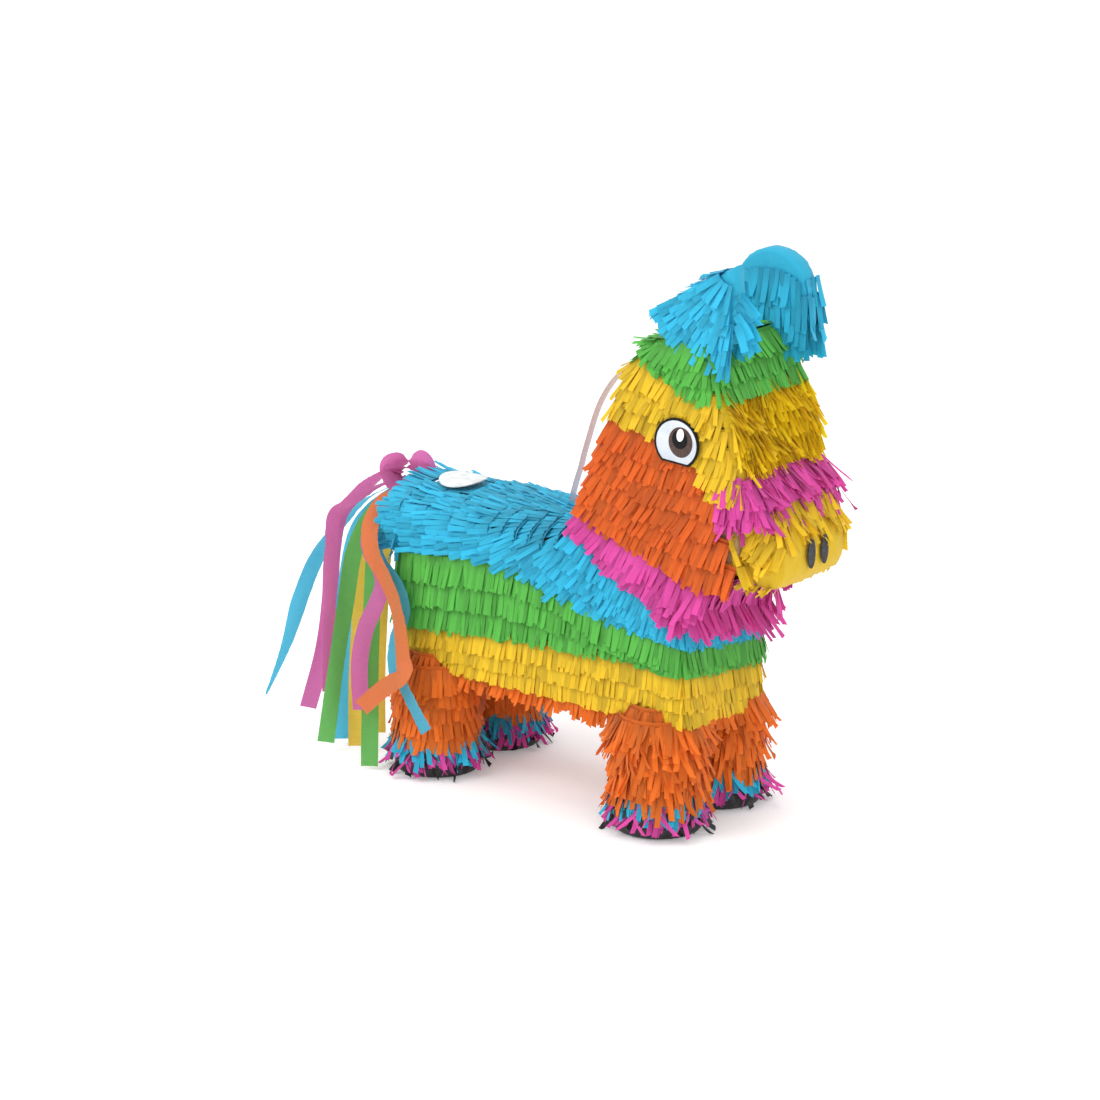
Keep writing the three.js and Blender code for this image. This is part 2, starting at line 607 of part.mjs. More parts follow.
const bounds = new THREE.Box3().setFromObject(pinata);
const middle = bounds.getCenter(new THREE.Vector3());
pinata.position.set(-middle.x, -middle.y, -bounds.min.z);
pinata.updateMatrixWorld(true);

export default pinata;
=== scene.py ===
import math

import bpy
import numpy as np
from mathutils import Matrix, Vector


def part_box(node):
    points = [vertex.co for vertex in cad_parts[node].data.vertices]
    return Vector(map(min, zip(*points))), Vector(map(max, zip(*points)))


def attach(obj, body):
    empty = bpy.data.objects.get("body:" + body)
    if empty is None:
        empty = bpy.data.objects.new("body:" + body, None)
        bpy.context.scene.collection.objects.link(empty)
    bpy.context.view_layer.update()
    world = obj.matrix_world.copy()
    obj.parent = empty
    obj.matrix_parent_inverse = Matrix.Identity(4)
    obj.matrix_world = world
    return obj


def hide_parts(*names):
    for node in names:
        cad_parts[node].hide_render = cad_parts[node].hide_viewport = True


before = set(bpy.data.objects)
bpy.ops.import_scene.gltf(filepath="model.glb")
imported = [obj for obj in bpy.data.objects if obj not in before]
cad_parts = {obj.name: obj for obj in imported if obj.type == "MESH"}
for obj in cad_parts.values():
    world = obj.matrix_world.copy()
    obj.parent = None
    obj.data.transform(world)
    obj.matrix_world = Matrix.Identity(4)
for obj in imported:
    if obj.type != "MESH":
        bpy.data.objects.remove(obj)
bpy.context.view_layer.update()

# Lengths below are in millimetres in the donkey's own frame: X forward, Z up, origin on the floor
# in the middle of the four hooves. placed() turns them into metres in the row frame.

LEG_PLACES = ("front_right", "front_left", "rear_right", "rear_left")


def hoof_middle():
    """The middle of the four hooves, in metres in the row frame."""
    corners = [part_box(f"hoof_{place}") for place in LEG_PLACES]
    low = [min(c[0][k] for c in corners) for k in (0, 1)]
    high = [max(c[1][k] for c in corners) for k in (0, 1)]
    return np.array([(low[0] + high[0]) / 2, (low[1] + high[1]) / 2, 0.0])


ORIGIN = hoof_middle()


def placed(points):
    return np.asarray(points, float) * 0.001 + ORIGIN


def unit(v):
    v = np.asarray(v, float)
    return v / np.maximum(np.linalg.norm(v, axis=-1, keepdims=True), 1e-9)


# ---------- camera ----------

AZIMUTH = math.radians(37.9)
ELEVATION = math.radians(16)
RIGHT = np.array([math.cos(AZIMUTH), math.sin(AZIMUTH), 0])
AHEAD = np.array([-math.sin(AZIMUTH) * math.cos(ELEVATION),
                  math.cos(AZIMUTH) * math.cos(ELEVATION), -math.sin(ELEVATION)])
UP = np.cross(RIGHT, AHEAD)


def build_camera():
    camera = bpy.data.objects.new("camera", bpy.data.cameras.new("camera"))
    camera.data.lens = 100
    camera.data.sensor_width = 36
    camera.data.clip_end = 50
    middle = RIGHT * -23.7 + UP * 211.3
    turn = Matrix((RIGHT, UP, -AHEAD)).transposed().to_4x4()
    camera.matrix_world = Matrix.Translation(Vector(placed(middle - AHEAD * 2803.3))) @ turn
    bpy.context.scene.collection.objects.link(camera)
    bpy.context.scene.camera = camera


# ---------- materials ----------

BLUE = (0.030, 0.50, 0.75)
GREEN = (0.105, 0.50, 0.068)
YELLOW = (0.84, 0.56, 0.018)
# The forehead's yellow crepe painted brighter: painted light that makes up for the shade between its edge-on
# frills.
PAINTED_LIT_YELLOW = (1.0, 0.72, 0.014)
ORANGE = (0.82, 0.175, 0.012)
DEEP_ORANGE = (0.73, 0.125, 0.010)
MAGENTA = (0.76, 0.075, 0.40)
PINK = (0.70, 0.12, 0.42)


def new_material(name, inputs):
    """A material with its node tree and its shader, which takes the given inputs."""
    material = bpy.data.materials.new(name)
    material.use_nodes = True
    tree = material.node_tree
    shader = tree.nodes["Principled BSDF"]
    for input_name, value in inputs.items():
        shader.inputs[input_name].default_value = value
    return material, tree, shader


def link(tree, source, target):
    tree.links.new(source, target)


def ramp(tree, source, stops):
    """A colour ramp fed by source. stops are (place, colour)."""
    node = tree.nodes.new("ShaderNodeValToRGB")
    link(tree, source, node.inputs[0])
    elements = node.color_ramp.elements
    while len(elements) < len(stops):
        elements.new(0.5)
    for element, (place, colour) in zip(elements, stops):
        element.position = place
        element.color = (*colour, 1)
    return node.outputs[0]


def noise_texture(tree, vector, scale, detail=3, roughness=0.5):
    node = tree.nodes.new("ShaderNodeTexNoise")
    node.inputs["Scale"].default_value = scale
    node.inputs["Detail"].default_value = detail
    node.inputs["Roughness"].default_value = roughness
    link(tree, vector, node.inputs["Vector"])
    return node.outputs["Fac"]


def attribute(tree, name, output):
    node = tree.nodes.new("ShaderNodeAttribute")
    node.attribute_name = name
    return node.outputs[output]


def stretched(tree, vector, scale):
    node = tree.nodes.new("ShaderNodeMapping")
    node.inputs["Scale"].default_value = scale
    link(tree, vector, node.inputs["Vector"])
    return node.outputs["Vector"]


def object_noise(tree, scale, detail, stretch=(1, 1, 1)):
    coordinates = tree.nodes.new("ShaderNodeTexCoord").outputs["Object"]
    return noise_texture(tree, stretched(tree, coordinates, stretch), scale, detail)


def shade_of(colour, amount):
    return tuple(min(1, c * amount) for c in colour)


def multiply(tree, a, b):
    node = tree.nodes.new("ShaderNodeMix")
    node.data_type = "RGBA"
    node.blend_type = "MULTIPLY"
    node.inputs["Factor"].default_value = 1
    link(tree, a, node.inputs["A"])
    link(tree, b, node.inputs["B"])
    return node.outputs["Result"]


def add_relief(tree, shader, height, strength, distance):
    relief = tree.nodes.new("ShaderNodeBump")
    relief.inputs["Strength"].default_value = strength
    relief.inputs["Distance"].default_value = distance
    link(tree, height, relief.inputs["Height"])
    link(tree, relief.outputs["Normal"], shader.inputs["Normal"])


def crepe(name, colour, ridges=(0.9, 0.12, 1), glow=0.25, bump=0.35):
    """Crepe tissue, finely ridged, whose tone changes from strand to strand, with painted shade that darkens
    each strand toward its root and in the hollows of its crinkles.
    """
    material, tree, shader = new_material(
        name, {"Roughness": 0.62, "Specular IOR Level": 0.28, "Sheen Weight": 0.12})
    tone = ramp(tree, attribute(tree, "tone", "Fac"),
                [(0, shade_of(colour, 0.74)), (0.5, colour), (1, shade_of(colour, 1.16))])
    # Painted shade: each strand darkens toward its root, where the strands over it would shade it.
    root = ramp(tree, attribute(tree, "along", "Fac"), [(0, (0.80, 0.77, 0.79)), (0.5, (1, 1, 1))])
    paper = stretched(tree, attribute(tree, "paper", "Vector"), ridges)
    wrinkles = noise_texture(tree, paper, 1.6, 4, 0.6)
    # Painted shade in the crinkles' hollows along with the paper's own mottle: the tone follows the noise of
    # the relief and is darker where it is low.
    mottle_and_crinkle_shade = ramp(tree, wrinkles, [(0.3, (0.88, 0.88, 0.88)), (0.7, (1, 1, 1))])
    tissue = multiply(tree, multiply(tree, tone, root), mottle_and_crinkle_shade)
    link(tree, tissue, shader.inputs["Base Color"])
    add_relief(tree, shader, wrinkles, bump, 0.0006)
    through = tree.nodes.new("ShaderNodeBsdfTranslucent")
    link(tree, tissue, through.inputs["Color"])
    mix = tree.nodes.new("ShaderNodeMixShader")
    mix.inputs[0].default_value = glow
    link(tree, shader.outputs[0], mix.inputs[1])
    link(tree, through.outputs[0], mix.inputs[2])
    link(tree, mix.outputs[0], tree.nodes["Material Output"].inputs["Surface"])
    return material


def grain_and_painted_hollow_shade(name, stops, roughness, scale=900, detail=3, stretch=(1, 1, 1), specular=0.15,
            bump=(0.15, 0.0003)):
    """A surface whose tone and relief follow the same fine noise: its grain's own tone, and painted shade that
    darkens it where the relief is low.
    """
    material, tree, shader = new_material(name, {"Roughness": roughness, "Specular IOR Level": specular})
    grain = object_noise(tree, scale, detail, stretch)
    # Painted shade: the same noise that raises the relief darkens the tone where it is low.
    link(tree, ramp(tree, grain, stops), shader.inputs["Base Color"])
    add_relief(tree, shader, grain, *bump)
    return material


def cardboard_material():
    """Brown kraft board with its flutes showing as faint bands, darker in their hollows as painted shade."""
    browns = [(0.3, (0.30, 0.18, 0.09)), (0.7, (0.48, 0.31, 0.17))]
    return grain_and_painted_hollow_shade("cardboard", browns, 0.85, 500, stretch=(1, 1, 0.3))


def hoof_material():
    """Black crepe, crushed, darker in its hollows as painted shade, with the dull shine of a coated tissue."""
    blacks = [(0.3, (0.008, 0.008, 0.009)), (0.75, (0.035, 0.035, 0.038))]
    return grain_and_painted_hollow_shade("crepe_black", blacks, 0.48, 160, 5, specular=0.4, bump=(0.7, 0.002))


def label_material():
    return grain_and_painted_hollow_shade("label_paper", [(0.35, (0.60, 0.62, 0.62)), (0.7, (0.78, 0.80, 0.80))], 0.55, 120)


def ink_material():
    return grain_and_painted_hollow_shade("eye_ink", [(0.4, (0.004, 0.004, 0.005)), (0.7, (0.009, 0.009, 0.01))], 0.6)


def sclera_material():
    return grain_and_painted_hollow_shade("eye_white", [(0.3, (0.48, 0.53, 0.59)), (0.7, (0.66, 0.70, 0.75))], 0.35, 60)


def glint_material():
    return grain_and_painted_hollow_shade("eye_glint", [(0.4, (0.86, 0.86, 0.84)), (0.6, (0.92, 0.92, 0.90))], 0.3)


def nostril_material():
    return grain_and_painted_hollow_shade("nostril_ink", [(0.3, (0.025, 0.025, 0.03)), (0.7, (0.06, 0.06, 0.065))], 0.45, 300)


def ribbon_material():
    """Sheer white satin ribbon, a little clear, with fine threads along it."""
    material, tree, shader = new_material(
        "strap_ribbon", {"Roughness": 0.35, "Alpha": 0.88, "Sheen Weight": 0.3})
    threads = noise_texture(tree, stretched(tree, attribute(tree, "paper", "Vector"), (6, 0.1, 1)), 2, 2)
    link(tree, ramp(tree, threads, [(0.3, (0.70, 0.72, 0.76)), (0.7, (0.86, 0.88, 0.92))]),
         shader.inputs["Base Color"])
    return material


def iris_material(middle):
    """Dark brown iris with streaks that run out from its middle."""
    material, tree, shader = new_material("eye_iris", {"Roughness": 0.3})
    shift = tree.nodes.new("ShaderNodeVectorMath")
    shift.operation = "SUBTRACT"
    shift.inputs[1].default_value = middle
    link(tree, tree.nodes.new("ShaderNodeTexCoord").outputs["Object"], shift.inputs[0])
    split = tree.nodes.new("ShaderNodeSeparateXYZ")
    link(tree, shift.outputs[0], split.inputs[0])
    angle = tree.nodes.new("ShaderNodeMath")
    angle.operation = "ARCTAN2"
    link(tree, split.outputs["Z"], angle.inputs[0])
    link(tree, split.outputs["X"], angle.inputs[1])
    streak_place = tree.nodes.new("ShaderNodeCombineXYZ")
    link(tree, angle.outputs[0], streak_place.inputs["X"])
    streaks = noise_texture(tree, streak_place.outputs[0], 7)
    link(tree, ramp(tree, streaks, [(0.35, (0.012, 0.005, 0.003)), (0.7, (0.095, 0.034, 0.016))]),
         shader.inputs["Base Color"])
    return material


def build_materials():
    made = {
        "blue": crepe("crepe_blue", BLUE),
        "green": crepe("crepe_green", GREEN),
        "yellow": crepe("crepe_yellow", YELLOW),
        "painted_lit_yellow": crepe("crepe_gold", PAINTED_LIT_YELLOW, glow=0.35),
        "orange": crepe("crepe_orange", ORANGE),
        "deep_orange": crepe("crepe_deep_orange", DEEP_ORANGE),
        "magenta": crepe("crepe_magenta", MAGENTA),
        "black": hoof_material(),
        "cardboard": cardboard_material(),
        "ribbon": ribbon_material(),
        "label": label_material(),
        "ink": ink_material(),
        "sclera": sclera_material(),
        "glint": glint_material(),
        "nostril": nostril_material(),
    }
    for name, colour in (("blue", BLUE), ("green", GREEN), ("yellow", YELLOW), ("orange", ORANGE),
                         ("magenta", PINK)):
        pale = tuple(c * 0.86 + 0.06 for c in colour)
        made[f"{name}_streamer"] = crepe(f"streamer_{name}", pale, (0.12, 0.9, 1), 0.4, 0.7)
    return made


MATERIALS = build_materials()


# ---------- meshes from arrays ----------

class Paper:
    """Collects grids of points, then turns them into one mesh piece."""

    def __init__(self):
        self.points, self.quads, self.tone, self.along, self.paper = [], [], [], [], []
        self.count = 0

    def add(self, points, quads, tone, along, paper):
        self.points.append(points.reshape(-1, 3))
        self.quads.append(quads.reshape(-1, 4) + self.count)
        self.tone.append(np.broadcast_to(tone, points.shape[:-1]).reshape(-1))
        self.along.append(np.broadcast_to(along, points.shape[:-1]).reshape(-1))
        self.paper.append(np.broadcast_to(paper, points.shape).reshape(-1, 3))
        self.count += points.size // 3

    def piece(self, name, look, body, slot_name, *replaced):
        mesh = bpy.data.meshes.new(name)
        points = placed(np.concatenate(self.points))
        quads = np.concatenate(self.quads)
        mesh.vertices.add(len(points))
        mesh.vertices.foreach_set("co", points.astype(np.float32).ravel())
        mesh.loops.add(quads.size)
        mesh.loops.foreach_set("vertex_index", quads.astype(np.int32).ravel())
        mesh.polygons.add(len(quads))
        mesh.polygons.foreach_set("loop_start", np.arange(0, quads.size, 4, dtype=np.int32))
        mesh.polygons.foreach_set("use_smooth", np.ones(len(quads), bool))
        # along, each point's share of the way along its strand, sets how much of the crepe's painted root shade
        # it takes.
        for attribute_name, values in (("tone", self.tone), ("along", self.along)):
            layer = mesh.attributes.new(attribute_name, "FLOAT", "POINT")
            layer.data.foreach_set("value", np.concatenate(values).astype(np.float32))
        layer = mesh.attributes.new("paper", "FLOAT_VECTOR", "POINT")
        layer.data.foreach_set("vector", np.concatenate(self.paper).astype(np.float32).ravel())
        mesh.update(calc_edges=True)
        mesh.validate()
        return show(bpy.data.objects.new(name, mesh), look, body, slot_name, *replaced)


def show(piece, look, body, slot_name, *replaced):
    bpy.context.scene.collection.objects.link(piece)
    piece.data.materials.append(MATERIALS[look])
    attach(piece, body)
    if replaced:
        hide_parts(*replaced)
    return piece


def grid_quads(rows, columns):
    """Quads of one grid of rows x columns points."""
    corner = np.arange(rows - 1)[:, None] * columns + np.arange(columns - 1)[None, :]
    return np.stack([corner, corner + 1, corner + columns + 1, corner + columns], -1).reshape(-1, 4)


def row_path(x, y, z):
    """Points with these coordinates. A single number holds for all of them."""
    return np.stack(np.broadcast_arrays(x, y, z), -1).astype(float)


def side_outline(pairs, step):
    """Points at even steps along an outline given by its (x, z) pairs."""
    return resampled(np.array([(x, 0, z) for x, z in pairs]), step)


def resampled(points, step):
    gaps = np.linalg.norm(np.diff(points, axis=0), axis=1)
    reach = np.concatenate([[0], np.cumsum(gaps)])
    wanted = np.linspace(0, reach[-1], max(2, int(reach[-1] / step) + 1))
    return np.stack([np.interp(wanted, reach, points[:, k]) for k in range(3)], -1)


def softened(points, times=2):
    """Rounds the corners of an open path."""
    for _ in range(times):
        points = np.concatenate([points[:1], (points[:-2] + 2 * points[1:-1] + points[2:]) / 4, points[-1:]])
    return points


# ---------- fringe ----------

# How strands are cut and hang: their width, the chance spread of their length, their lean and their
# twist, how far they lift off, curl and droop, how far they stand edge on, and the share of their
# lean and lift that is each strand's own. Angles are in radians.
STYLE_WORDS = ("width", "spread", "lean", "twist", "lift", "curl", "droop", "edge", "stray")


def style_of(*values):
    return dict(zip(STYLE_WORDS, values))


NEAT = style_of(4.5, 0.05, 0.05, 0.09, 0.17, 0.03, 0, 0, 0.3)
TIDY = style_of(4.7, 0.08, 0.08, 0.14, 0.17, 0.05, 0, 0, 0.4)
LOOSE = style_of(5.0, 0.15, 0.15, 0.38, 0.22, 0.09, 0.04, 0, 0.7)
MESSY = style_of(5.0, 0.22, 0.24, 0.70, 0.30, 0.15, 0.08, 0, 1)
FRILLY = style_of(4.4, 0.12, 0.16, 0.35, 0.30, 0.10, 0.1, 1.2, 0.6)

STRAND_GAP = 4.2  # from one strand's root to the next
STRAND_STEPS = 6  # lengths that a strand bends in

EYE_MIDDLE = (158, 356)  # X and Z of both eye stickers
EYE_REACH = (24, 23)
LABEL_MIDDLE = (-126, -6)  # X and Y of the round label on the fill flap


def from_label(points):
    return np.hypot(points[..., 0] - LABEL_MIDDLE[0], points[..., 1] - LABEL_MIDDLE[1])


def under_sticker(path):
    """Which points lie under an eye or under the round label, where the paper is pressed flat."""
    across, up = ((path[..., k] - EYE_MIDDLE[i]) / EYE_REACH[i] for i, k in enumerate((0, 2)))
    eye = (across ** 2 + up ** 2 < 1) & (np.abs(path[..., 1]) > 50)
    return eye | ((from_label(path) < 18) & (path[..., 2] > 240))


def drifting(rng, n, stray):
    """Chance values that drift slowly from strand to strand; stray is the share of each strand's own."""
    slow = np.convolve(rng.standard_normal(n + 10), np.full(11, 11 ** -0.5), "valid")
    return (1 - stray) * slow + stray * rng.standard_normal(n)


def spread_over(path, *directions):
    """Each direction once for every point of the path."""
    return [np.broadcast_to(direction, path.shape) for direction in directions]


def add_strands(paper, rng, root, normal, hang, length, style):
    """Cut strands of crepe: each leaves its root along hang, lifts off along normal and curls by chance."""
    n = len(root)
    if n == 0:
        return
    u = np.linspace(0, 1, STRAND_STEPS + 1)
    normal, hang = spread_over(root, normal, unit(hang))
    normal = unit(normal - hang * np.sum(normal * hang, -1, keepdims=True))
    side = np.cross(hang, normal)
    size = np.broadcast_to(length, n) * np.clip(1 + style["spread"] * rng.standard_normal(n), 0.55, 1.35)
    lean = style["lean"] * drifting(rng, n, style["stray"])
    lift = style["lift"] * np.clip(1 + 0.45 * drifting(rng, n, style["stray"]), 0.2, 1.8)
    curl = style["curl"] * rng.standard_normal(n)
    start = style["edge"] + style["twist"] * 0.4 * rng.standard_normal(n)
    turn = style["twist"] * rng.standard_normal(n)
    down = size[:, None] * (u - 0.07 * u ** 2)
    out = np.maximum(0.5, 0.9 + size[:, None] * (lift[:, None] * u + curl[:, None] * u ** 2))
    across = (size * lean)[:, None] * u ** 1.6
    path = root[:, None] + hang[:, None] * down[..., None] + side[:, None] * across[..., None]
    path[..., 2] -= style["droop"] * size[:, None] * u ** 2
    out = np.where(under_sticker(path), np.minimum(out, 3.5), out)
    path = path + normal[:, None] * out[..., None]
    angle = start[:, None] + turn[:, None] * u
    flat = side[:, None] * np.cos(angle)[..., None] + normal[:, None] * np.sin(angle)[..., None]
    raised = normal[:, None] * np.cos(angle)[..., None] - side[:, None] * np.sin(angle)[..., None]
    width = style["width"] * (0.85 + 0.3 * rng.random(n))
    half = (0.5 * width[:, None] * (1 - 0.06 * u))[..., None]
    bow = (0.09 * rng.standard_normal(n) * width)[:, None, None]
    points = np.stack([path - flat * half, path + raised * bow, path + flat * half], 2)
    cut = (0.13 * rng.standard_normal(n) * width)[:, None]
    points[:, -1, 0] -= hang * cut
    points[:, -1, 2] += hang * cut
    rows, columns = points.shape[1:3]
    quads = grid_quads(rows, columns)[None] + (np.arange(n) * rows * columns)[:, None, None]
    tone = rng.random(n)[:, None, None]
    coordinates = np.zeros(points.shape)
    coordinates[..., 0] = (np.arange(columns) - 1) * style["width"] / 2
    coordinates[..., 1] = size[:, None, None] * u[None, :, None]
    coordinates[..., 0] += rng.random(n)[:, None, None] * 400
    paper.add(points, quads, tone, u[None, :, None], coordinates)


def add_header(paper, rng, path, normal, hang, depth):
    """The uncut strip above a row of strands, glued to the surface, slightly crinkled, and painted darker as
    shade under the strands that cover it.
    """
    normal, hang = spread_over(path, normal, unit(hang))
    drop = np.linspace(-0.15, 1, 5) * depth
    points = path[:, None] + hang[:, None] * drop[None, :, None]
    crinkle = 0.5 + 0.35 * rng.random(points.shape[:2])
    points = points + normal[:, None] * crinkle[..., None]
    coordinates = np.zeros(points.shape)
    coordinates[..., 0] = np.arange(len(path))[:, None] * 4
    coordinates[..., 1] = drop
    # Painted shade: a low tone, and a low share along that the crepe's painted root shade reads, make the strip
    # darker than its strands.
    tone = 0.25 + 0.2 * rng.random(len(path))[:, None]
    paper.add(points, grid_quads(*points.shape[:2]), tone, 0.2, coordinates)


def add_row(paper, rng, path, normal, hang, length, style, layers=2, header=None, keep=None):
    """One row of fringe along a path: the uncut strip, then layers of strands, the last one outermost."""
    normal, hang = spread_over(path, normal, hang)
    add_header(paper, rng, path, normal, hang, header or length * 0.75)
    ahead = np.gradient(path, axis=0)
    for layer in range(layers):
        stray = style["stray"] if layer == layers - 1 else 0.7
        jitter = (rng.uniform(-0.5, 0.5, len(path)) * stray + 0.5 * layer)[:, None] * ahead
        root = path + jitter + unit(normal) * (0.4 + 0.9 * layer)
        root = root + unit(hang) * (rng.random(len(path))[:, None] * 2.5 * stray)
        chosen = np.ones(len(path), bool) if keep is None else keep(root)
        size = np.broadcast_to(length, len(path))[chosen]
        add_strands(paper, rng, root[chosen], normal[chosen], hang[chosen], size, style)


# ---------- the body's shape ----------

ROOT_HALF = 61.0  # half width of the body where the strands are glued
RUMP_X = -161.0

# Where one colour ends and the next begins on the side, as (x, z).
COLLAR_TOP = [(30, 285), (47, 279), (92, 262), (135, 248), (176, 235), (240, 226)]
COLLAR_FOOT = [(30, 266), (57, 259), (92, 229), (135, 208), (164, 190), (240, 178)]
BLUE_FOOT = [(-220, 203), (-137, 207), (-42, 216), (30, 210), (70, 192), (161, 181), (240, 180)]
GREEN_FOOT = [(-220, 138), (-137, 139), (-42, 148), (93, 153), (161, 150), (240, 148)]
YELLOW_FOOT = [(0, 103.6)]
CHEEK_TOP = [(30, 372), (72, 368), (107, 362), (136, 356), (182, 360), (240, 362)]
CROWN_FOOT = [(30, 424), (114, 422), (148, 410), (173, 396), (240, 392)]
CROWN_TOP = [(0, 441)]

# Edges of the body seen from the side, as (z, x).
NECK_REAR = [(238, 42), (287, 55), (352, 79), (392, 93), (415, 105), (438, 130), (444, 150)]
HEAD_FRONT = [(94, 159), (170, 160), (212, 163), (229, 181), (238, 197), (256, 218), (322, 222),
              (388, 201), (433, 187), (444, 180)]
CHEEK_FRONT = [(226, 176), (238, 197), (254, 216), (266, 209), (300, 201), (322, 198), (360, 177)]
MUZZLE_FRONT = [(235, 246), (247, 254), (272, 254), (296, 242), (318, 229)]

# Which way strands hang on the sides, in degrees below tailward, as (x, degrees).
STRAIGHT_DOWN = [(0, 90)]
FLANK_HANG = [(-165, 88), (165, 93)]
CHEEK_HANG = [(60, 56), (120, 64), (200, 76)]
COLLAR_HANG = [(35, 44), (100, 58), (165, 80)]
CHEST_HANG = [(10, 46), (90, 64), (165, 86)]
BACK_HANG = [(-165, 16), (-45, 13), (-38, 26), (0, 36), (30, 46)]


def follow(line, where):
    """The second value of a line's pairs where the first one is the given value."""
    return np.interp(where, *zip(*line))


def neck_rear(z):
    return follow(NECK_REAR, z)


def head_front(z):
    return follow(HEAD_FRONT, z)


def cheek_front(z):
    return follow(CHEEK_FRONT, z)


def muzzle_front(z):
    return follow(MUZZLE_FRONT, z)


def between(top, foot, share):
    """A line between two lines, at a share of the way down."""
    xs = np.linspace(-220, 240, 93)
    return list(zip(xs, follow(top, xs) * (1 - share) + follow(foot, xs) * share))


def meeting(line, profile, start):
    """The X where a row's line meets an edge profile. A profile that is a number is that X."""
    if not callable(profile):
        return profile
    x = float(start)
    for _ in range(20):
        x = 0.5 * x + 0.5 * float(profile(follow(line, x)))
    return x


def sag(path):
    """How far the trunk's rows run low toward the left side of the chest, as they were glued."""
    x, y, z = path.T
    far = np.clip((y + ROOT_HALF) / (2 * ROOT_HALF), 0, 1) * np.clip((x - 60) / 100, 0, 1)
    return 15 * far * np.clip((240 - z) / 15, 0, 1) * np.clip((z - 98) / 35, 0, 1)


def ring(line, back, fore, around, half=ROOT_HALF):
    """A row's path round the body between two edges, and its outward normals."""
    x_back = meeting(line, back, 60)
    x_fore = meeting(line, fore, 190)
    xs = np.linspace(x_fore, x_back, 60)
    ys = np.linspace(-half, half, 30)
    right = row_path(xs, -half, follow(line, xs))
    left = right[::-1] * [1, -1, 1]
    rear = row_path(x_back, ys, follow(line, x_back))
    front = row_path(x_fore, -ys, follow(line, x_fore))
    order = {"both": [right, rear, left, front, right[:6]], "rear": [right, rear, left],
             "front": [left, front, right]}[around]
    path = softened(resampled(np.concatenate(order), STRAND_GAP), 3)
    path[:, 2] -= sag(path)
    ahead = np.gradient(path, axis=0)
    normal = unit(row_path(ahead[:, 1], -ahead[:, 0], 0))
    centre = np.array([(x_back + x_fore) / 2, 0, 0])
    outward = np.sum(normal * (path - centre), -1)
    normal[outward < 0] *= -1
    return path, normal


def hanging(path, normal, side_hang, back=None, fore=None):
    """Which way strands hang: at an angle on the sides, and down the slope of an end that has a profile."""
    angle = np.radians(follow(side_hang, path[:, 0]))
    on_side = row_path(-np.cos(angle), 0, -np.sin(angle))
    on_end = np.tile([0.0, 0.0, -1.0], (len(path), 1))
    for profile, sign in ((back, -1), (fore, 1)):
        if profile is not None:
            slope = (profile(path[:, 2] + 4) - profile(path[:, 2] - 4)) / 8
            faces = normal[:, 0] * sign > 0.3
            on_end[faces, 0] = -slope[faces]
    share = np.abs(normal[:, 1:2]) ** 2
    return unit(on_side * share + unit(on_end) * (1 - share))


def band(paper, rng, top, foot, rows, length, style, back, fore, around, side_hang):
    """Rows of fringe that fill the zone between two lines."""
    last = [(x, z + length * 0.88) for x, z in foot]
    ends = {"both": (None, None), "rear": (back, None), "front": (None, fore)}[around]
    for k in range(rows):
        path, normal = ring(between(top, last, k / (rows - 1)), back, fore, around)
        add_row(paper, rng, path, normal, hanging(path, normal, side_hang, *ends), length, style)


def level_ring(z, back, fore, around, half=ROOT_HALF):
    return ring([(0, z)], back, fore, around, half)


def front_row(z, x_side, reach=0):
    """A row across the front of the head at height z, wrapping back to x_side on both sides."""
    return level_ring(z, x_side, head_front(z) + reach, "front")


# ---------- fringe on the trunk ----------

FLAP_X = (-152, -100)  # rear and front edge of the fill flap
FLAP_HALF = 27


def build_flank():
    rng = np.random.default_rng(11)
    for colour, top, foot, length in (("green", BLUE_FOOT, GREEN_FOOT, 28),
                                      ("yellow", GREEN_FOOT, YELLOW_FOOT, 21)):
        paper = Paper()
        band(paper, rng, top, foot, 3, length, NEAT, RUMP_X, head_front, "both", FLANK_HANG)
        paper.piece(f"paper_flank_{colour}", colour, "body", f"crepe_{colour}", f"fringe_flank_{colour}")


def build_belly():
    """A row of orange round the lower edge, then rows across the underside."""
    rng = np.random.default_rng(12)
    paper = Paper()
    path, normal = level_ring(110, RUMP_X, head_front, "both", 58)
    add_row(paper, rng, path, normal, hanging(path, normal, STRAIGHT_DOWN), 20, LOOSE)
    for x in np.arange(-150, 160, 16):
        path = row_path(x, np.arange(-56, 57, STRAND_GAP), 99)
        add_row(paper, rng, path, (0, 0, -1), (-1, 0, 0), 22, LOOSE, 1, 17)
    paper.piece("paper_belly_orange", "orange", "body", "crepe_orange", "fringe_belly_orange")


def arch_height(y):
    """Height of the back where the strands are glued."""
    return 236 + 24.5 * np.sqrt(np.clip(1 - (y / 63.0) ** 2, 0, 1))


def saddle(x):
    """A row's path from the right flank over the back to the left flank."""
    wall = row_path(x, -ROOT_HALF, np.linspace(follow(BLUE_FOOT, x) + 6, 234, 8))
    ys = ROOT_HALF * np.sin(np.linspace(-1, 1, 60) * math.pi / 2)
    over = row_path(x, ys, arch_height(ys))
    whole = np.concatenate([wall, over, wall[::-1] * [1, -1, 1]])
    path = softened(resampled(whole, STRAND_GAP), 4)
    ahead = np.gradient(path, axis=0)
    return path, unit(row_path(0, -ahead[:, 2], ahead[:, 1]))


def back_hang(path, normal):
    """Combed toward the tail, and turning down on the sides."""
    angle = np.radians(follow(BACK_HANG, path[:, 0])) * np.clip(np.abs(normal[:, 1]) * 1.3, 0, 1)
    return unit(row_path(-np.cos(angle), 0, -np.sin(angle)))


def on_flap(root):
    return (root[:, 0] > FLAP_X[0]) & (root[:, 0] < FLAP_X[1] + 1) & (np.abs(root[:, 1]) < FLAP_HALF - 1)


def before_flap(root):
    return (root[:, 0] >= FLAP_X[1]) & (root[:, 0] < FLAP_X[1] + 24) & (np.abs(root[:, 1]) < FLAP_HALF + 4)


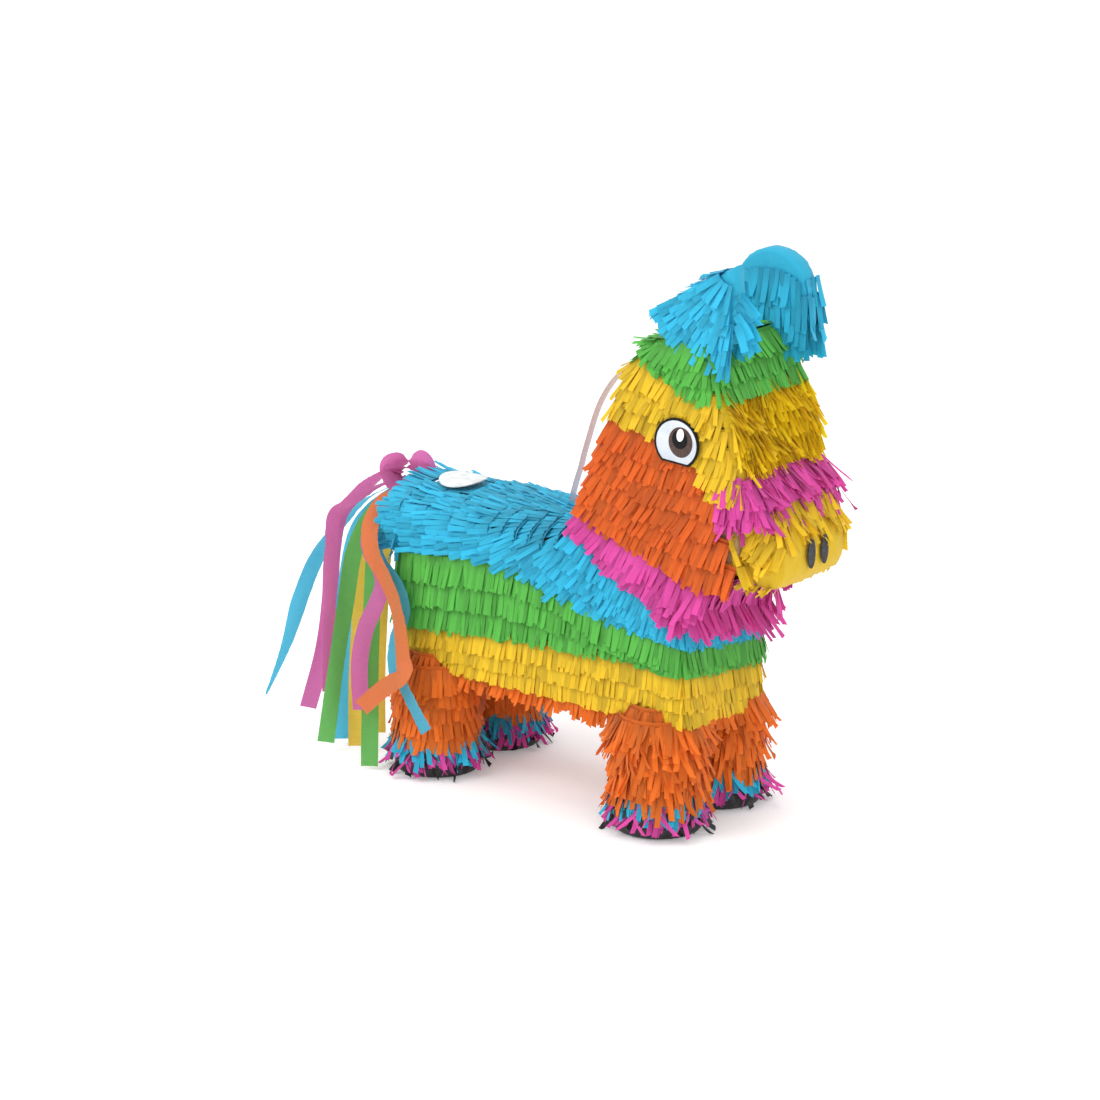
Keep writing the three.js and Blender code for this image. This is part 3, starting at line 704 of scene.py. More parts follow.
def add_saddle_row(paper, rng, x):
    """A row over the back that leaves the fill flap free."""
    path, normal = saddle(x)
    hang = back_hang(path, normal)
    style = dict(TIDY, lift=0.13)
    if FLAP_X[0] - 4 < x < FLAP_X[1] + 10:
        strips = [path[:, 1] * side > FLAP_HALF + 1 for side in (-1, 1)]
    else:
        strips = [np.full(len(path), True)]
    for strip in strips:
        add_header(paper, rng, path[strip], normal[strip], hang[strip], 15)
    clear = (x <= 30) | (path[:, 2] < 262)
    for layer in range(2):
        root = path + normal * (0.5 + 0.8 * layer) + rng.uniform(-1, 1, path.shape) * [1, 1, 0]
        short = clear & before_flap(root)
        plain = clear & ~on_flap(root) & ~short
        add_strands(paper, rng, root[plain], normal[plain], hang[plain], 27, style)
        room = np.clip(root[short, 0] - FLAP_X[1] - 1, 5, 24)
        add_strands(paper, rng, root[short], normal[short], hang[short], room, style)


def build_back():
    rng = np.random.default_rng(13)
    paper = Paper()
    for z in (236, 220):
        path, normal = level_ring(z, RUMP_X, RUMP_X + 6, "rear")
        add_row(paper, rng, path, normal, hanging(path, normal, STRAIGHT_DOWN), 24, LOOSE)
    for drop in (2, 9):
        for side in (-1, 1):
            ys = side * np.arange(8, 60, STRAND_GAP)
            path = row_path(RUMP_X - 0.5, ys, arch_height(ys) - drop)
            add_row(paper, rng, path, (-0.8, 0, 0.6), (-0.25, 0, -1), 24, LOOSE)
    for x in np.arange(-158, 42, 15):
        add_saddle_row(paper, rng, x)
    paper.piece("paper_back_blue", "blue", "body", "crepe_blue", "fringe_back_blue")
    build_flap(rng)


def build_flap(rng):
    """Short strands on the fill flap, left out round its label."""
    paper = Paper()
    for x in np.arange(FLAP_X[0] + 6, FLAP_X[1], 11):
        ys = np.arange(-FLAP_HALF + 2, FLAP_HALF - 1, STRAND_GAP)
        path = row_path(x, ys, arch_height(ys) + 1)
        normal = unit(row_path(0, ys / 80, 1))
        hang = (-1, 0, 0)
        add_header(paper, rng, path, normal, hang, 11 if x > FLAP_X[0] + 8 else 6)
        free = np.minimum(from_label(path), from_label(path - [10, 0, 0])) >= 24.5
        room = np.clip(x - FLAP_X[0] + 5, 8, 20)
        add_strands(paper, rng, path[free], normal[free], hang, room, dict(TIDY, lift=0.1))
    paper.piece("paper_flap_blue", "blue", "fill_flap", "crepe_blue", "fringe_flap_blue")


def build_chest():
    """Blue below the collar: rows that fan out from the neck's foot and go round the chest."""
    rng = np.random.default_rng(14)
    paper = Paper()
    foot = [(x, z + 14) for x, z in BLUE_FOOT]
    for k, start in enumerate((22, 18, 14, 10)):
        path, normal = ring(between(COLLAR_FOOT, foot, k / 3), start, head_front, "front")
        glued = (path[:, 2] < 238) | (path[:, 0] > neck_rear(path[:, 2]) - 3)
        path, normal = path[glued], normal[glued]
        hang = hanging(path, normal, CHEST_HANG, None, head_front)
        length = np.interp(path[:, 0], [30, 160], [26, 20])
        add_row(paper, rng, path, normal, hang, length, TIDY, header=16)
    paper.piece("paper_chest_blue", "blue", "body", "crepe_blue")


def build_collar():
    rng = np.random.default_rng(15)
    paper = Paper()
    flared = dict(LOOSE, lift=0.34, width=5.5)
    band(paper, rng, COLLAR_TOP, COLLAR_FOOT, 2, 27, TIDY, neck_rear, head_front, "rear", COLLAR_HANG)
    band(paper, rng, COLLAR_TOP, COLLAR_FOOT, 3, 28, flared, 150, head_front, "front", COLLAR_HANG)
    path, normal = front_row(215, 158)
    front = np.abs(normal[:, 1]) < 0.8
    wide = dict(flared, lift=0.42, lean=0.1)
    add_row(paper, rng, path[front], normal[front], (0, 0, -1), 29, wide, header=10)
    paper.piece("paper_collar_magenta", "magenta", "body", "crepe_magenta", "fringe_collar_magenta")


# ---------- fringe on the head ----------

def build_cheeks():
    rng = np.random.default_rng(16)
    paper = Paper()
    band(paper, rng, CHEEK_TOP, COLLAR_TOP, 6, 27, TIDY, neck_rear, cheek_front, "rear", CHEEK_HANG)
    paper.piece("paper_head_orange", "deep_orange", "body", "crepe_orange", "fringe_head_orange")


def build_brow():
    rng = np.random.default_rng(17)
    paper = Paper()
    band(paper, rng, CROWN_FOOT, CHEEK_TOP, 3, 27, TIDY, neck_rear, 186, "rear", CHEEK_HANG)
    for z in (400, 386, 371, 356, 342, 328):
        path, normal = front_row(z, cheek_front(min(z, 360)) - 4)
        side = np.abs(normal[:, 1]) > 0.6
        hang = hanging(path, normal, CHEEK_HANG, None, head_front)
        add_header(paper, rng, path, normal, hang, 12)
        root = path + normal * 0.6
        for _ in range(2):
            add_strands(paper, rng, root[side], normal[side], hang[side], 25 if z > 330 else 20, TIDY)
    paper.piece("paper_brow_yellow", "yellow", "body", "crepe_yellow", "fringe_brow_yellow")


def build_forehead():
    """Frilly strands on the forehead that stand off it edge on."""
    rng = np.random.default_rng(18)
    paper = Paper()
    for z in np.arange(402, 345, -6):
        path, normal = front_row(z, head_front(z) - 4)
        add_header(paper, rng, path, normal, hanging(path, normal, STRAIGHT_DOWN, None, head_front), 9)
        ys = np.arange(-58, 61, 2.2)
        path = row_path(head_front(z) + 0.5, ys, z)
        path += rng.normal(0, 1.2, path.shape) * [0, 1, 1]
        sway = 0.5 * np.sin(ys * 0.07 + z * 0.11) + 0.15
        add_strands(paper, rng, path, (1, 0, 0.25), row_path(0.22, sway, -1), 19, FRILLY)
    # The forehead takes the yellow crepe painted brighter, as painted light against its frills' shade.
    paper.piece("paper_forehead_gold", "painted_lit_yellow", "body", "crepe_yellow")


def build_crown():
    """Green from the brow up: round the head, behind it and over its flat top between the ears."""
    rng = np.random.default_rng(19)
    paper = Paper()
    band(paper, rng, CROWN_TOP, CROWN_FOOT, 3, 25, TIDY, neck_rear, 184, "rear", CHEEK_HANG)
    for z in (441, 429, 415):
        path, normal = front_row(z, 180)
        hang = hanging(path, normal, STRAIGHT_DOWN, None, head_front)
        add_row(paper, rng, path, normal, hang, 24, NEAT)
    ys = np.arange(-60, 61, STRAND_GAP)
    for z in (428, 433, 438):
        add_row(paper, rng, row_path(neck_rear(z), ys, z), unit((-1, 0, 1)), (-0.9, 0, -1), 22, TIDY)
    for x in np.arange(181, 120, -11):
        path = row_path(x, ys, 445 - max(0, 150 - x) * 0.3)
        add_row(paper, rng, path, (0, 0, 1), (-1, 0, -0.1), 18, dict(LOOSE, lift=0.1), 1, 13,
                lambda root: np.abs(root[:, 1]) < 36)
    paper.piece("paper_crown_green", "green", "body", "crepe_green", "fringe_crown_green")


def build_nose():
    """The magenta band between forehead and muzzle, frilly in front."""
    rng = np.random.default_rng(20)
    paper = Paper()
    frill = dict(MESSY, lift=0.40, width=5.8, lean=0.16, spread=0.12, twist=0.5)
    for z in (332, 326, 318, 311):
        path, normal = front_row(z, cheek_front(z) + 2, 2 + (332 - z) * 0.5)
        hang = hanging(path, normal, STRAIGHT_DOWN, None, head_front)
        front = np.abs(normal[:, 1]) < 0.6
        add_row(paper, rng, path[front], normal[front], hang[front], 21, frill, header=12)
        for side in (-1, 1):
            part = ~front & (path[:, 1] * side > 0)
            add_row(paper, rng, path[part], normal[part], hang[part], 19, dict(LOOSE, lift=0.16), 1, 12)
    for z in (316, 304):
        path, normal = front_row(z, cheek_front(z) - 1, -4)
        hang = hanging(path, normal, FLANK_HANG)
        add_row(paper, rng, path, normal, hang, 20, LOOSE, 2, 16, lambda root: np.abs(root[:, 1]) > 52)
    paper.piece("paper_nose_magenta", "magenta", "body", "crepe_magenta", "fringe_nose_magenta")


MUZZLE_SIDE = [(204, 258), (222, 238), (244, 235), (254, 247), (254, 272), (242, 296), (229, 318), (204, 318)]


def add_muzzle_skin(paper, rng):
    """Smooth tissue drawn over the muzzle, its ends folded in at both sides."""
    outline = softened(side_outline(MUZZLE_SIDE, 5))
    ys = np.concatenate([[-40], np.linspace(-46, 46, 24), [40]])
    folded = np.abs(ys) == 40
    inset = np.where(folded, 0.55, 1 - 0.05 * (np.abs(ys) / 46) ** 4)
    centre = np.array([228, 0, 275])
    skin = centre + (outline[:, None] - centre) * inset[None, :, None]
    skin[..., 1] = np.where(folded, np.sign(ys) * 48, ys)
    skin += rng.normal(0, 0.45, skin.shape)
    paper.add(skin, grid_quads(*skin.shape[:2]), 0.55, 0.8, skin[..., [1, 2, 0]])


def build_muzzle():
    """Smooth tissue over the muzzle with ragged strands on its sides, top edge and chin."""
    rng = np.random.default_rng(21)
    paper = Paper()
    add_muzzle_skin(paper, rng)
    for side in (-1, 1):
        for z in (304, 293, 282, 272):
            xs = np.arange(206 if z < 300 else 222, muzzle_front(z) - 1, STRAND_GAP)
            path = row_path(xs, side * 46.5, z)
            hang = (-0.25, 0, -1)
            add_strands(paper, rng, path, (0, side, 0), hang, 21, dict(MESSY, width=6, droop=0))
            add_strands(paper, rng, path + [2, 0, 4], (0, side, 0), hang, 20, LOOSE)
        for z in (308, 297, 286, 275, 265, 256):
            path = row_path(cheek_front(z) + 1.5, side * np.arange(48, 61, 3.8), z)
            add_strands(paper, rng, path, (0.9, side * 0.4, 0), (0.1, 0, -1), 19, LOOSE)
    for z, length, share in ((308, 20, 1), (303, 22, 1), (297, 24, 0.9), (288, 22, 0.4)):
        ys = np.arange(-47, 48, 3.4)
        path = row_path(muzzle_front(z) + 0.5, ys[rng.random(len(ys)) < share], z)
        ragged = dict(MESSY, lift=0.13, lean=0.14)
        add_strands(paper, rng, path, (1, 0, 0.3), (0.42, 0, -1), length, ragged)
    ys = np.arange(-46, 47, 4)
    for x in (214, 226, 240):
        for _ in range(2):
            add_strands(paper, rng, row_path(x, ys, 241), (0.2, 0, -1), row_path(-1, ys * 0.01, -0.35), 12,
                        dict(MESSY, droop=0))
    paper.piece("paper_muzzle_yellow", "yellow", "body", "crepe_yellow", "fringe_muzzle_yellow")


# ---------- ears ----------

EAR_RIGHT_TIP = (205, 0, 509)
EAR_RIGHT_PLATE = [(136, 444), (206, 444), (210, 482), (206, 510), (196, 505), (160, 482), (138, 460)]
EAR_LEFT_MIDDLE = (176, 471)
EAR_LEFT_RADIUS = 37


def add_plate(paper, rng, outline, y_low, y_high):
    """A flat closed slab of paper with the given side outline, as the ground under an ear's strands."""
    points = side_outline(outline + outline[:1], 4)
    middle = points.mean(0)
    shares = np.array([0.02, 0.5, 0.90, 0.96, 1, 1, 0.96, 0.90, 0.5, 0.02])
    depths = [y_low, y_low, y_low, y_low + 1.5, y_low + 5, y_high - 5, y_high - 1.5, y_high, y_high, y_high]
    skin = middle + (points[:, None] - middle) * shares[None, :, None]
    skin[..., 1] = depths
    skin += rng.normal(0, 0.25, skin.shape)
    skin[-1] = skin[0]
    paper.add(skin, grid_quads(*skin.shape[:2]), 0.45, 0.5, skin[..., [0, 2, 1]])


def build_ear_right():
    """Strands that fan down and back from the ear's tip on both faces, and cover its front and rear edge."""
    rng = np.random.default_rng(22)
    paper = Paper()
    add_plate(paper, rng, EAR_RIGHT_PLATE, -58, -42)
    fan = dict(TIDY, lift=0.12, lean=0.05, twist=0.16, width=5.0)
    for y, side in ((-58.5, -1), (-41.5, 1)):
        for radius in (68, 57, 46, 35, 24, 14):
            for layer in range(2):
                angle = np.radians(np.arange(31 + 4 * layer, 90, math.degrees(4.3 / radius)))
                way = row_path(-np.cos(angle), 0, -np.sin(angle))
                root = np.array(EAR_RIGHT_TIP) + way * radius + [0, y + side * (0.5 + layer), 0]
                above = (root[:, 2] > 446) | (side < 0)
                add_strands(paper, rng, root[above], (0, side, 0), way[above], 26, fan)
    for height, turn in ((486, 0.75), (478, 0.95), (470, 0.6), (462, 0.4), (456, 0.7)):
        path = row_path(208, np.arange(-57, -44, 5), height)
        add_strands(paper, rng, path, (0.5, -0.9, 0), (0.5, turn, -1), 24, dict(LOOSE, width=6.5))
    rear = resampled(np.array([(143, -50, 466), (162, -50, 482), (196, -50, 505)]), STRAND_GAP)
    for offset in (-7, -2, 3, 7):
        add_strands(paper, rng, rear + [0, offset, 0], (-0.6, offset * 0.05, 0.8), (-0.88, 0, -0.42), 19,
                    dict(LOOSE, lift=0.12))
    paper.piece("paper_ear_right", "blue", "ear_right", "crepe_blue", "ear_fringe_right")


def dome():
    """The far ear's outline: a half circle on straight sides."""
    x, z = EAR_LEFT_MIDDLE
    arc = [(x + EAR_LEFT_RADIUS * math.cos(t), z + EAR_LEFT_RADIUS * math.sin(t))
           for t in np.linspace(0, math.pi, 40)]
    return [(x + EAR_LEFT_RADIUS, 444)] + arc + [(x - EAR_LEFT_RADIUS, 444)]


def dome_reach(radius, z):
    """Half the far ear's width at height z."""
    return math.sqrt(radius ** 2 - max(0, z - EAR_LEFT_MIDDLE[1]) ** 2)


def build_ear_left():
    """A round ear: smooth tissue over its top, strands that hang straight down below it."""
    rng = np.random.default_rng(23)
    paper = Paper()
    add_plate(paper, rng, dome(), 40, 60)
    middle = EAR_LEFT_MIDDLE[0]
    for y, side in ((40, -1), (60, 1)):
        for z in (486, 471, 457, 444):
            reach = dome_reach(EAR_LEFT_RADIUS - 0.5, z)
            xs = np.arange(middle - reach, middle + reach + 1, 5.2)
            arc = z + 5 - 13 * np.abs((xs - middle) / 36) ** 2.5 if z > 480 else z
            path = row_path(xs, y + 0.3 * side, arc)
            hang = row_path((xs - middle) * 0.002, 0, -1)
            for layer in range(2):
                add_strands(paper, rng, path + [0, side * layer, 0], (0, side, 0), hang, 31,
                            dict(TIDY, width=5.8, lift=0.1))
    for z in (484, 470, 456):
        for offset in (-7, -2, 3, 8):
            for side in (-1, 1):
                x = middle + side * (dome_reach(EAR_LEFT_RADIUS, z) + 0.5)
                path = row_path(x, 50 + offset, [z + rng.uniform(-4, 4)])
                add_strands(paper, rng, path, (side, 0, 0.1), (side * 0.08, 0, -1), 28,
                            dict(LOOSE, width=5.8, lift=0.12))
    paper.piece("paper_ear_left", "blue", "ear_left", "crepe_blue", "ear_fringe_left")


# ---------- legs ----------

LEG_X = 126
LEG_Y = 46
DOWN = (0, 0, -1)


def outward(turn):
    return row_path(np.cos(turn), np.sin(turn), 0)


def hoop(centre, radius, z, step=STRAND_GAP):
    """A level circle and its outward normals."""
    normal = outward(np.linspace(0, 2 * math.pi, int(2 * math.pi * radius / step)))
    return (*centre, z) + normal * radius, normal


def build_leg(place, seed):
    """One leg's fringe, its two cuffs and its hoof."""
    rng = np.random.default_rng(seed)
    x = LEG_X if place.startswith("front") else -LEG_X
    y = -LEG_Y if place.endswith("right") else LEG_Y
    style = dict(TIDY, lift=0.18) if x < 0 else dict(LOOSE, lift=0.24, lean=0.2)
    fringe = Paper()
    for z, radius in ((114, 24), (105, 34.5), (94, 35.5), (80, 35.5), (66, 35.5), (51, 35.5)):
        path, normal = hoop((x, y), radius, z)
        add_row(fringe, rng, path, normal, DOWN + normal * (0.25 if z > 90 else 0), 26, style, header=16)
    fringe.piece(f"paper_leg_{place}", "orange", "body", "crepe_orange", f"leg_fringe_{place}")
    blue = Paper()
    for z in (37, 33):
        add_row(blue, rng, *hoop((x, y), 38.5, z), DOWN, 15, dict(MESSY, lift=0.36), 1, 8)
    blue.piece(f"paper_cuff_blue_{place}", "blue", "body", "crepe_blue", f"cuff_{place}")
    pink = Paper()
    for z in (32, 27):
        add_strands(pink, rng, *hoop((x, y), 39.5, z, 5.2), DOWN, 17, dict(MESSY, lift=0.34, lean=0.5))
    pink.piece(f"paper_cuff_magenta_{place}", "magenta", "body", "crepe_magenta")
    build_hoof(place, (x, y), rng)


def build_hoof(place, centre, rng):
    """Black crepe crushed round the foot, puffed out between floor and cuff, with loose strips."""
    paper = Paper()
    turn = np.linspace(0, 2 * math.pi, 121)[:, None]
    heights = np.array([0.25, 0.25, 0.4, 1.5, 4, 8, 12, 16, 20, 24, 28, 31, 32.5])
    radii = np.array([2, 20, 34, 38.5, 40.3, 41, 41, 40.6, 40, 39.2, 38.2, 37, 30])
    folds = 0
    for k in (5, 9, 13, 19, 27, 34):
        depth = rng.uniform(0.3, 1)
        start = rng.uniform(0, 6)
        folds = folds + depth * np.sin(turn * k + start + heights * rng.normal(0, 0.12))
    reach = radii - 1.1 * np.abs(folds) * np.clip(heights / 6, 0, 1) * (radii > 33)
    skin = row_path(centre[0] + reach * np.cos(turn), centre[1] + reach * np.sin(turn), heights)
    skin[-1] = skin[0]
    paper.add(skin, grid_quads(*skin.shape[:2]), 0.5, 1, skin)
    for z, flare, count in ((27, 0.3, 24), (17, 0.5, 16), (10, 0.9, 12)):
        normal = outward(rng.uniform(0, 2 * math.pi, count))
        sway = np.cross(normal, [0, 0, 1]) * rng.normal(0, 0.6, (count, 1))
        add_strands(paper, rng, (*centre, z) + normal * 40.5, normal, normal * flare + sway + DOWN, 12,
                    dict(MESSY, width=5.5, lift=0.1, curl=0.08, droop=0))
    # No strip reaches into the floor.
    paper.points = [np.maximum(part, [-np.inf, -np.inf, 0.25]) for part in paper.points]
    paper.piece(f"paper_hoof_{place}", "black", "body", "crepe_black", f"hoof_{place}")


# ---------- ribbons: strap, streamers and bow ----------

def smooth_route(points, samples):
    """A curve through the points, with its samples evenly spaced, and its length."""
    p = np.array(points, float)
    p = np.concatenate([2 * p[:1] - p[1:2], p, 2 * p[-1:] - p[-2:-1]])
    t = np.linspace(0, 1, 24, endpoint=False)[:, None]
    parts = []
    for a, b, c, d in zip(p[:-3], p[1:-2], p[2:-1], p[3:]):
        parts.append(0.5 * (2 * b + (c - a) * t + (2 * a - 5 * b + 4 * c - d) * t ** 2
                            + (3 * b - a - 3 * c + d) * t ** 3))
    fine = np.concatenate(parts + [p[-2:-1]])
    length = np.linalg.norm(np.diff(fine, axis=0), axis=1).sum()
    return resampled(fine, length / (samples - 1) * 0.9999)[:samples], length


def add_ribbon(paper, rng, route, across, widths, turns, camber, crinkle, tone):
    """A flat ribbon along a route. across is its width direction before turns, in radians, rotate it."""
    widths, turns, camber = (np.broadcast_to(v, len(route))[:, None] for v in (widths, turns, camber))
    ahead = unit(np.gradient(route, axis=0))
    flat = unit(across - ahead * (ahead @ across)[:, None])
    face = np.cross(ahead, flat)
    flat, face = (flat * np.cos(turns) + face * np.sin(turns), face * np.cos(turns) - flat * np.sin(turns))
    columns = np.linspace(-1, 1, 7)
    aside = columns * widths / 2
    bend = camber * widths * (0.5 - columns ** 2)
    bend = bend + crinkle * rng.standard_normal(bend.shape)
    points = route[:, None] + flat[:, None] * aside[..., None] + face[:, None] * bend[..., None]
    along = np.concatenate([[0], np.cumsum(np.linalg.norm(np.diff(route, axis=0), axis=1))])
    coordinates = row_path(aside, along[:, None], rng.random() * 100)
    paper.add(points, grid_quads(*points.shape[:2]), tone, 1.0, coordinates)


STRAP_ROUTE = [
    (-6, 0, 246), (-6, 0, 258), (-4, 0, 270), (0, 0, 284), (5, 0, 298), (9, 0, 312), (14, 0, 327),
    (19, 0, 342), (25, 0, 357), (33, 0, 371), (43, 0, 384), (55, 0, 394), (69, 0, 401), (84, 0, 404),
    (92.5, 0, 404),
]


def build_strap():
    rng = np.random.default_rng(31)
    paper = Paper()
    route, length = smooth_route(STRAP_ROUTE, 70)
    turns = -0.6 + 0.12 * np.sin(np.linspace(0, 4, len(route)))
    add_ribbon(paper, rng, route, (0, 1, 0), 6, turns, 0.05, 0.03, 0.5)
    strap = paper.piece("ribbon_hang_strap", "ribbon", "body", "strap_ribbon", "hang_strap")


STREAMERS = {
    "magenta_left": ("magenta", (0.35, 0.94, 0), [(-199, -6, 261), (-212, -9, 262), (-231, -16, 248),
                     (-246, -26, 231), (-258, -36, 217), (-255, -46, 185), (-250, -54, 139), (-245, -62, 52)]),
    "magenta_end": ("magenta", (0.5, 0.85, 0), [(-220, 3, 249), (-246, -6, 234), (-270, -14, 210),
                    (-273, -24, 172), (-268, -34, 131), (-269, -44, 83), (-283, -52, 25)]),
    "blue_long": ("blue", (0.5, 0.8, 0.3), [(-224, 10, 242), (-257, 6, 223), (-284, 2, 197),
                  (-310, -2, 163), (-327, -10, 119), (-341, -18, 68), (-362, -26, 15)]),
    "blue_middle": ("blue", (0.8, 0.6, 0), [(-221, 2, 239), (-240, -6, 217), (-256, -12, 187),
                    (-257, -24, 140), (-246, -42, 88), (-231, -60, 7)]),
    "green_left": ("green", (0.7, 0.7, 0), [(-210, -9, 242), (-223, -22, 222), (-232, -38, 188),
                   (-228, -56, 144), (-226, -70, 99), (-230, -86, 11)]),
    "green_right": ("green", (0.8, 0.6, 0), [(-201, -14, 240), (-202, -34, 226), (-193, -54, 198),
                    (-185, -68, 155), (-176, -82, 99), (-167, -96, 4)]),
    "yellow_left": ("yellow", (0.8, 0.6, 0), [(-216, 0, 232), (-229, -12, 212), (-235, -22, 183),
                    (-226, -38, 140), (-215, -56, 85), (-204, -72, 9)]),
    "yellow_right": ("yellow", (0.8, 0.6, 0), [(-201, -6, 231), (-209, -16, 211), (-205, -30, 178),
                     (-197, -44, 135), (-187, -60, 92), (-176, -74, 29)]),
    "magenta_right": ("magenta", (1, 0.15, 0), [(-201, -11, 251), (-200, -30, 237), (-194, -50, 228),
                      (-187, -70, 217), (-175, -80, 204), (-163, -82, 190), (-160, -83, 175), (-166, -86, 156),
                      (-175, -90, 133), (-179, -94, 100), (-174, -98, 58)]),
    "orange": ("orange", (1, 0.15, 0), [(-192, -16, 250), (-195, -36, 246), (-189, -56, 237), (-181, -74, 224),
               (-169, -85, 207), (-154, -87, 188), (-142, -88, 168), (-134, -90, 146), (-120, -102, 120),
               (-109, -113, 109), (-127, -118, 95), (-155, -120, 70)]),
    "blue_right": ("blue", (1, 0.1, 0), [(-190, -13, 243), (-194, -30, 230), (-190, -50, 218), (-183, -67, 207),
                   (-171, -75, 196), (-156, -75, 183), (-145, -75, 168), (-140, -77, 150), (-144, -83, 132),
                   (-134, -98, 112), (-118, -105, 98), (-88, -107, 58)]),
}
STREAMER_WIDTH = 16


def build_streamer(name, seed):
    look, across, points = STREAMERS[name]
    rng = np.random.default_rng(seed)
    paper = Paper()
    route, length = smooth_route(points, 90)
    t = np.linspace(0, 1, len(route))
    widths = 5 + (STREAMER_WIDTH - 5) * np.clip(t / 0.16, 0, 1) ** 0.7
    swing = rng.uniform(0.15, 0.4) * np.sin(t * rng.uniform(3, 6) + rng.uniform(0, 6)) * np.clip(t * 4, 0, 1)
    if name == "blue_long":
        widths = widths * np.interp(t, [0, 0.65, 1], [1, 1, 0.15])
    camber = 0.10 * np.sin(t * 9 + rng.uniform(0, 6))
    add_ribbon(paper, rng, route, across, widths, swing, camber, 0.22, rng.uniform(0.35, 0.75))
    piece = paper.piece(f"paper_streamer_{name}", f"{look}_streamer", "tail_streamers", f"crepe_{look}",
                        f"streamer_{name}")


def build_bow():
    """The gathered root of the tail: a loop of magenta crepe and the wrap that ties the streamers."""
    rng = np.random.default_rng(41)
    paper = Paper()
    loop = [(-184, 4, 248), (-180, 7, 260), (-187, 6, 271), (-200, 0, 273), (-213, -7, 266), (-209, -8, 254),
            (-198, -4, 247), (-188, 0, 246)]
    inner = [(x + 4, y - 3, 250 + (z - 250) * 0.72) for x, y, z in loop]
    widths = np.interp(np.linspace(0, 1, 60), [0, 0.3, 0.7, 1], [13, 22, 19, 10])
    add_ribbon(paper, rng, smooth_route(loop, 60)[0], (0.75, 0.65, 0), widths, 0, 0.14, 0.25, 0.5)
    add_ribbon(paper, rng, smooth_route(inner, 50)[0], (0.6, 0.8, 0.1), widths[:50] * 0.9, 0.15, 0.1,
               0.25, 0.3)
    turn = np.linspace(0, 4.4 * math.pi, 70)
    wrap = row_path(-190 - turn * 0.7, 8 * np.cos(turn), 248 + 8.5 * np.sin(turn))
    add_ribbon(paper, rng, wrap, (1, 0, 0), 13, 0, -0.06, 0.25, 0.35)
    paper.piece("paper_tail_bow", "magenta_streamer", "tail_knot", "crepe_magenta", "tail_knot")


# ---------- eyes, nostrils and plain parts ----------

def add_disc(name, look, middle, radii, y, thick, turn, cut=None):
    """A thin printed disc on the side of the head. cut closes the disc with a slanted straight edge."""
    turns = np.linspace(*(cut or (0, 2 * math.pi)), 72, endpoint=bool(cut))
    xs, zs = radii[0] * np.cos(turns), radii[1] * np.sin(turns)
    rim = row_path(middle[0] + xs * math.cos(turn) - zs * math.sin(turn), y,
                   middle[1] + xs * math.sin(turn) + zs * math.cos(turn))
    centre = rim.mean(0)
    away = math.copysign(thick, y)
    rings = [rim, rim + [0, away * 0.7, 0]]
    rings += [centre + (rim - centre) * share + [0, away, 0] for share in (0.985, 0.6, 0.001)]
    skin = np.stack([np.concatenate([r, r[:1]]) for r in rings], 0)
    paper = Paper()
    paper.add(skin, grid_quads(*skin.shape[:2]), 0.5, 1, skin)
    return paper.piece(name, look, "body", "eye_print")


EYE_CUT = (-0.316 * math.pi, 1.265 * math.pi)


def build_eye(side, place):
    """The printed layers on one eye sticker, each a little farther out than the last."""
    low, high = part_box(f"eye_sticker_{place}")
    face = ((low if side < 0 else high)[1] - ORIGIN[1]) * 1000 + side * 0.02
    x, z = EYE_MIDDLE
    add_disc(f"eye_white_{place}", "sclera", (x, z), (20.6, 19.8), face, 0.25, 0, EYE_CUT)
    middle = (x + 4.5, z + 1.7)
    iris = add_disc(f"eye_iris_{place}", "ink", middle, (12.2, 13.1), face + side * 0.3, 0.2, -0.15)
    iris.data.materials[0] = iris_material(tuple(placed((middle[0], face, middle[1]))))
    add_disc(f"eye_pupil_{place}", "ink", (x + 3.8, z + 4.2), (7.8, 8.2), face + side * 0.55, 0.2, -0.15)
    add_disc(f"eye_glint_{place}", "glint", (x + 4.5, z + 8), (3.6, 5.6), face + side * 0.8, 0.2, -0.2)


PLAIN_LOOKS = {"eye_sticker": "ink", "nostril_sticker": "nostril", "fill_label": "label",
               "tail_tie": "magenta"}


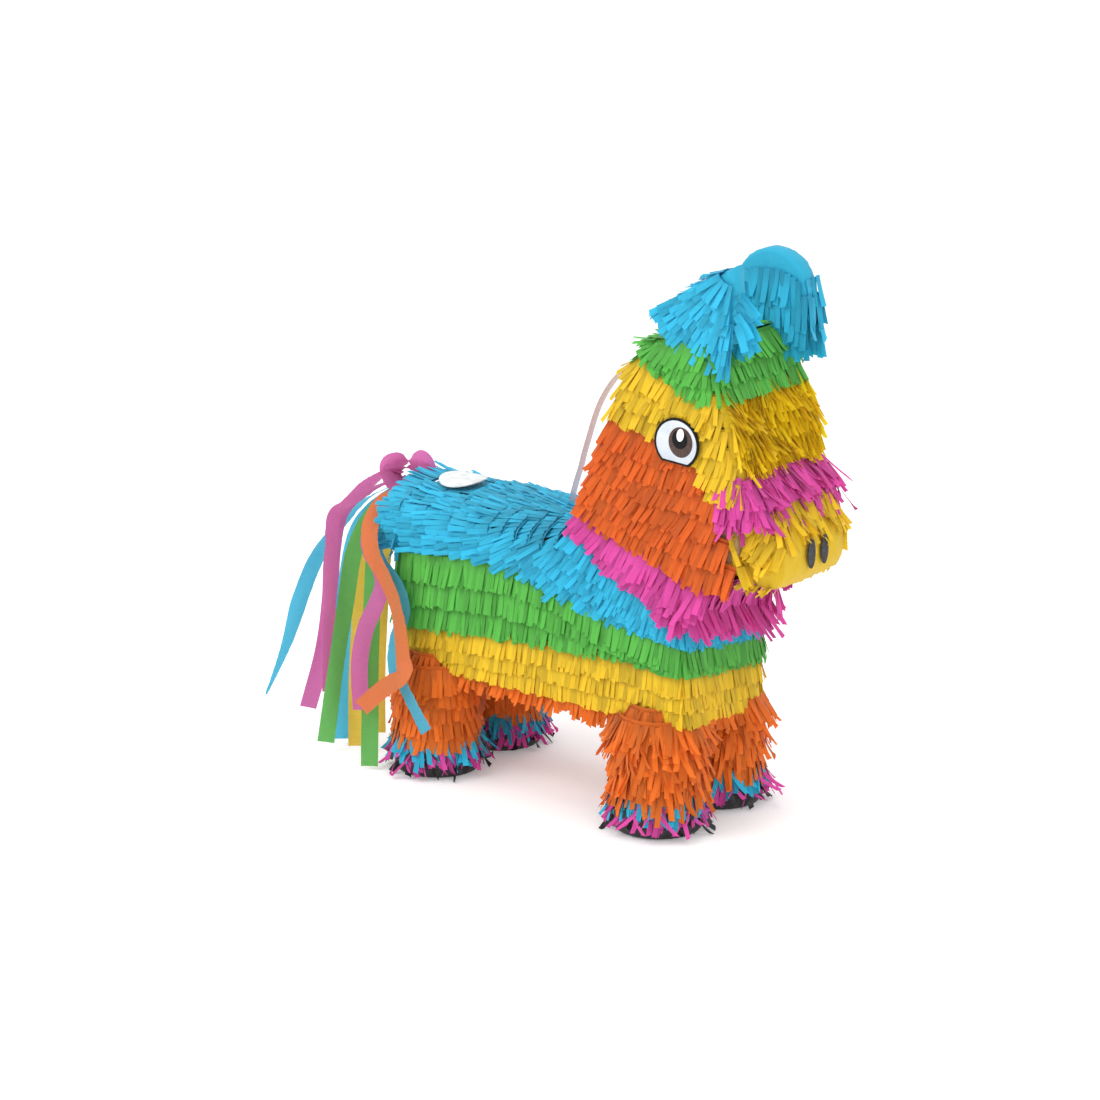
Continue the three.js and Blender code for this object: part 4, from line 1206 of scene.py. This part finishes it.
def dress_plain_parts():
    """The card shell, its trims and the printed parts keep their own shapes and take their own surfaces."""
    for name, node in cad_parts.items():
        look = next((v for k, v in PLAIN_LOOKS.items() if name.startswith(k)), "cardboard")
        node.data.materials.clear()
        node.data.materials.append(MATERIALS[look])


# ---------- studio ----------

FLOOR_SIDE = 60  # metres, so that its edge lies at the horizon
LAMPS = {"key": ((-0.9, -1.9, 2.1), 1.6, 33), "fill": ((2.2, -0.9, 1.2), 1.8, 11),
         "top": ((0.2, 0.5, 2.6), 2.2, 17)}


def build_floor():
    bpy.ops.mesh.primitive_plane_add(size=FLOOR_SIDE)
    floor = bpy.context.object
    floor.name = "floor"
    material, tree, shader = new_material(
        "floor", {"Roughness": 0.9, "Emission Color": (1, 1, 1, 1), "Emission Strength": 0.2})
    speckle = object_noise(tree, 40, 2)
    link(tree, ramp(tree, speckle, [(0.3, (0.90, 0.90, 0.90)), (0.7, (0.92, 0.92, 0.92))]),
         shader.inputs["Base Color"])
    floor.data.materials.append(material)


def build_light():
    """A white sky and three lamps that face the middle of the body."""
    world = bpy.data.worlds.new("studio")
    world.use_nodes = True
    world.node_tree.nodes["Background"].inputs["Color"].default_value = (1, 1, 1, 1)
    world.node_tree.nodes["Background"].inputs["Strength"].default_value = 0.9
    bpy.context.scene.world = world
    for name, (place, size, power) in LAMPS.items():
        light = bpy.data.objects.new(name, bpy.data.lights.new(name, "AREA"))
        light.data.energy = power
        light.data.size = size
        light.location = place
        light.rotation_euler = (Vector((0, 0, 0.25)) - Vector(place)).to_track_quat("-Z", "Y").to_euler()
        bpy.context.scene.collection.objects.link(light)
    bpy.context.scene.view_settings.view_transform = "Standard"


# ---------- the whole ----------

build_camera()
build_floor()
build_light()
dress_plain_parts()
build_strap()
for number, streamer in enumerate(STREAMERS):
    build_streamer(streamer, 100 + number)
build_bow()
build_flank()
build_belly()
build_back()
build_chest()
build_collar()
build_cheeks()
build_brow()
build_forehead()
build_crown()
build_nose()
build_muzzle()
build_ear_right()
build_ear_left()
for number, leg in enumerate(LEG_PLACES):
    build_leg(leg, 60 + number)
build_eye(-1, "right")
build_eye(1, "left")
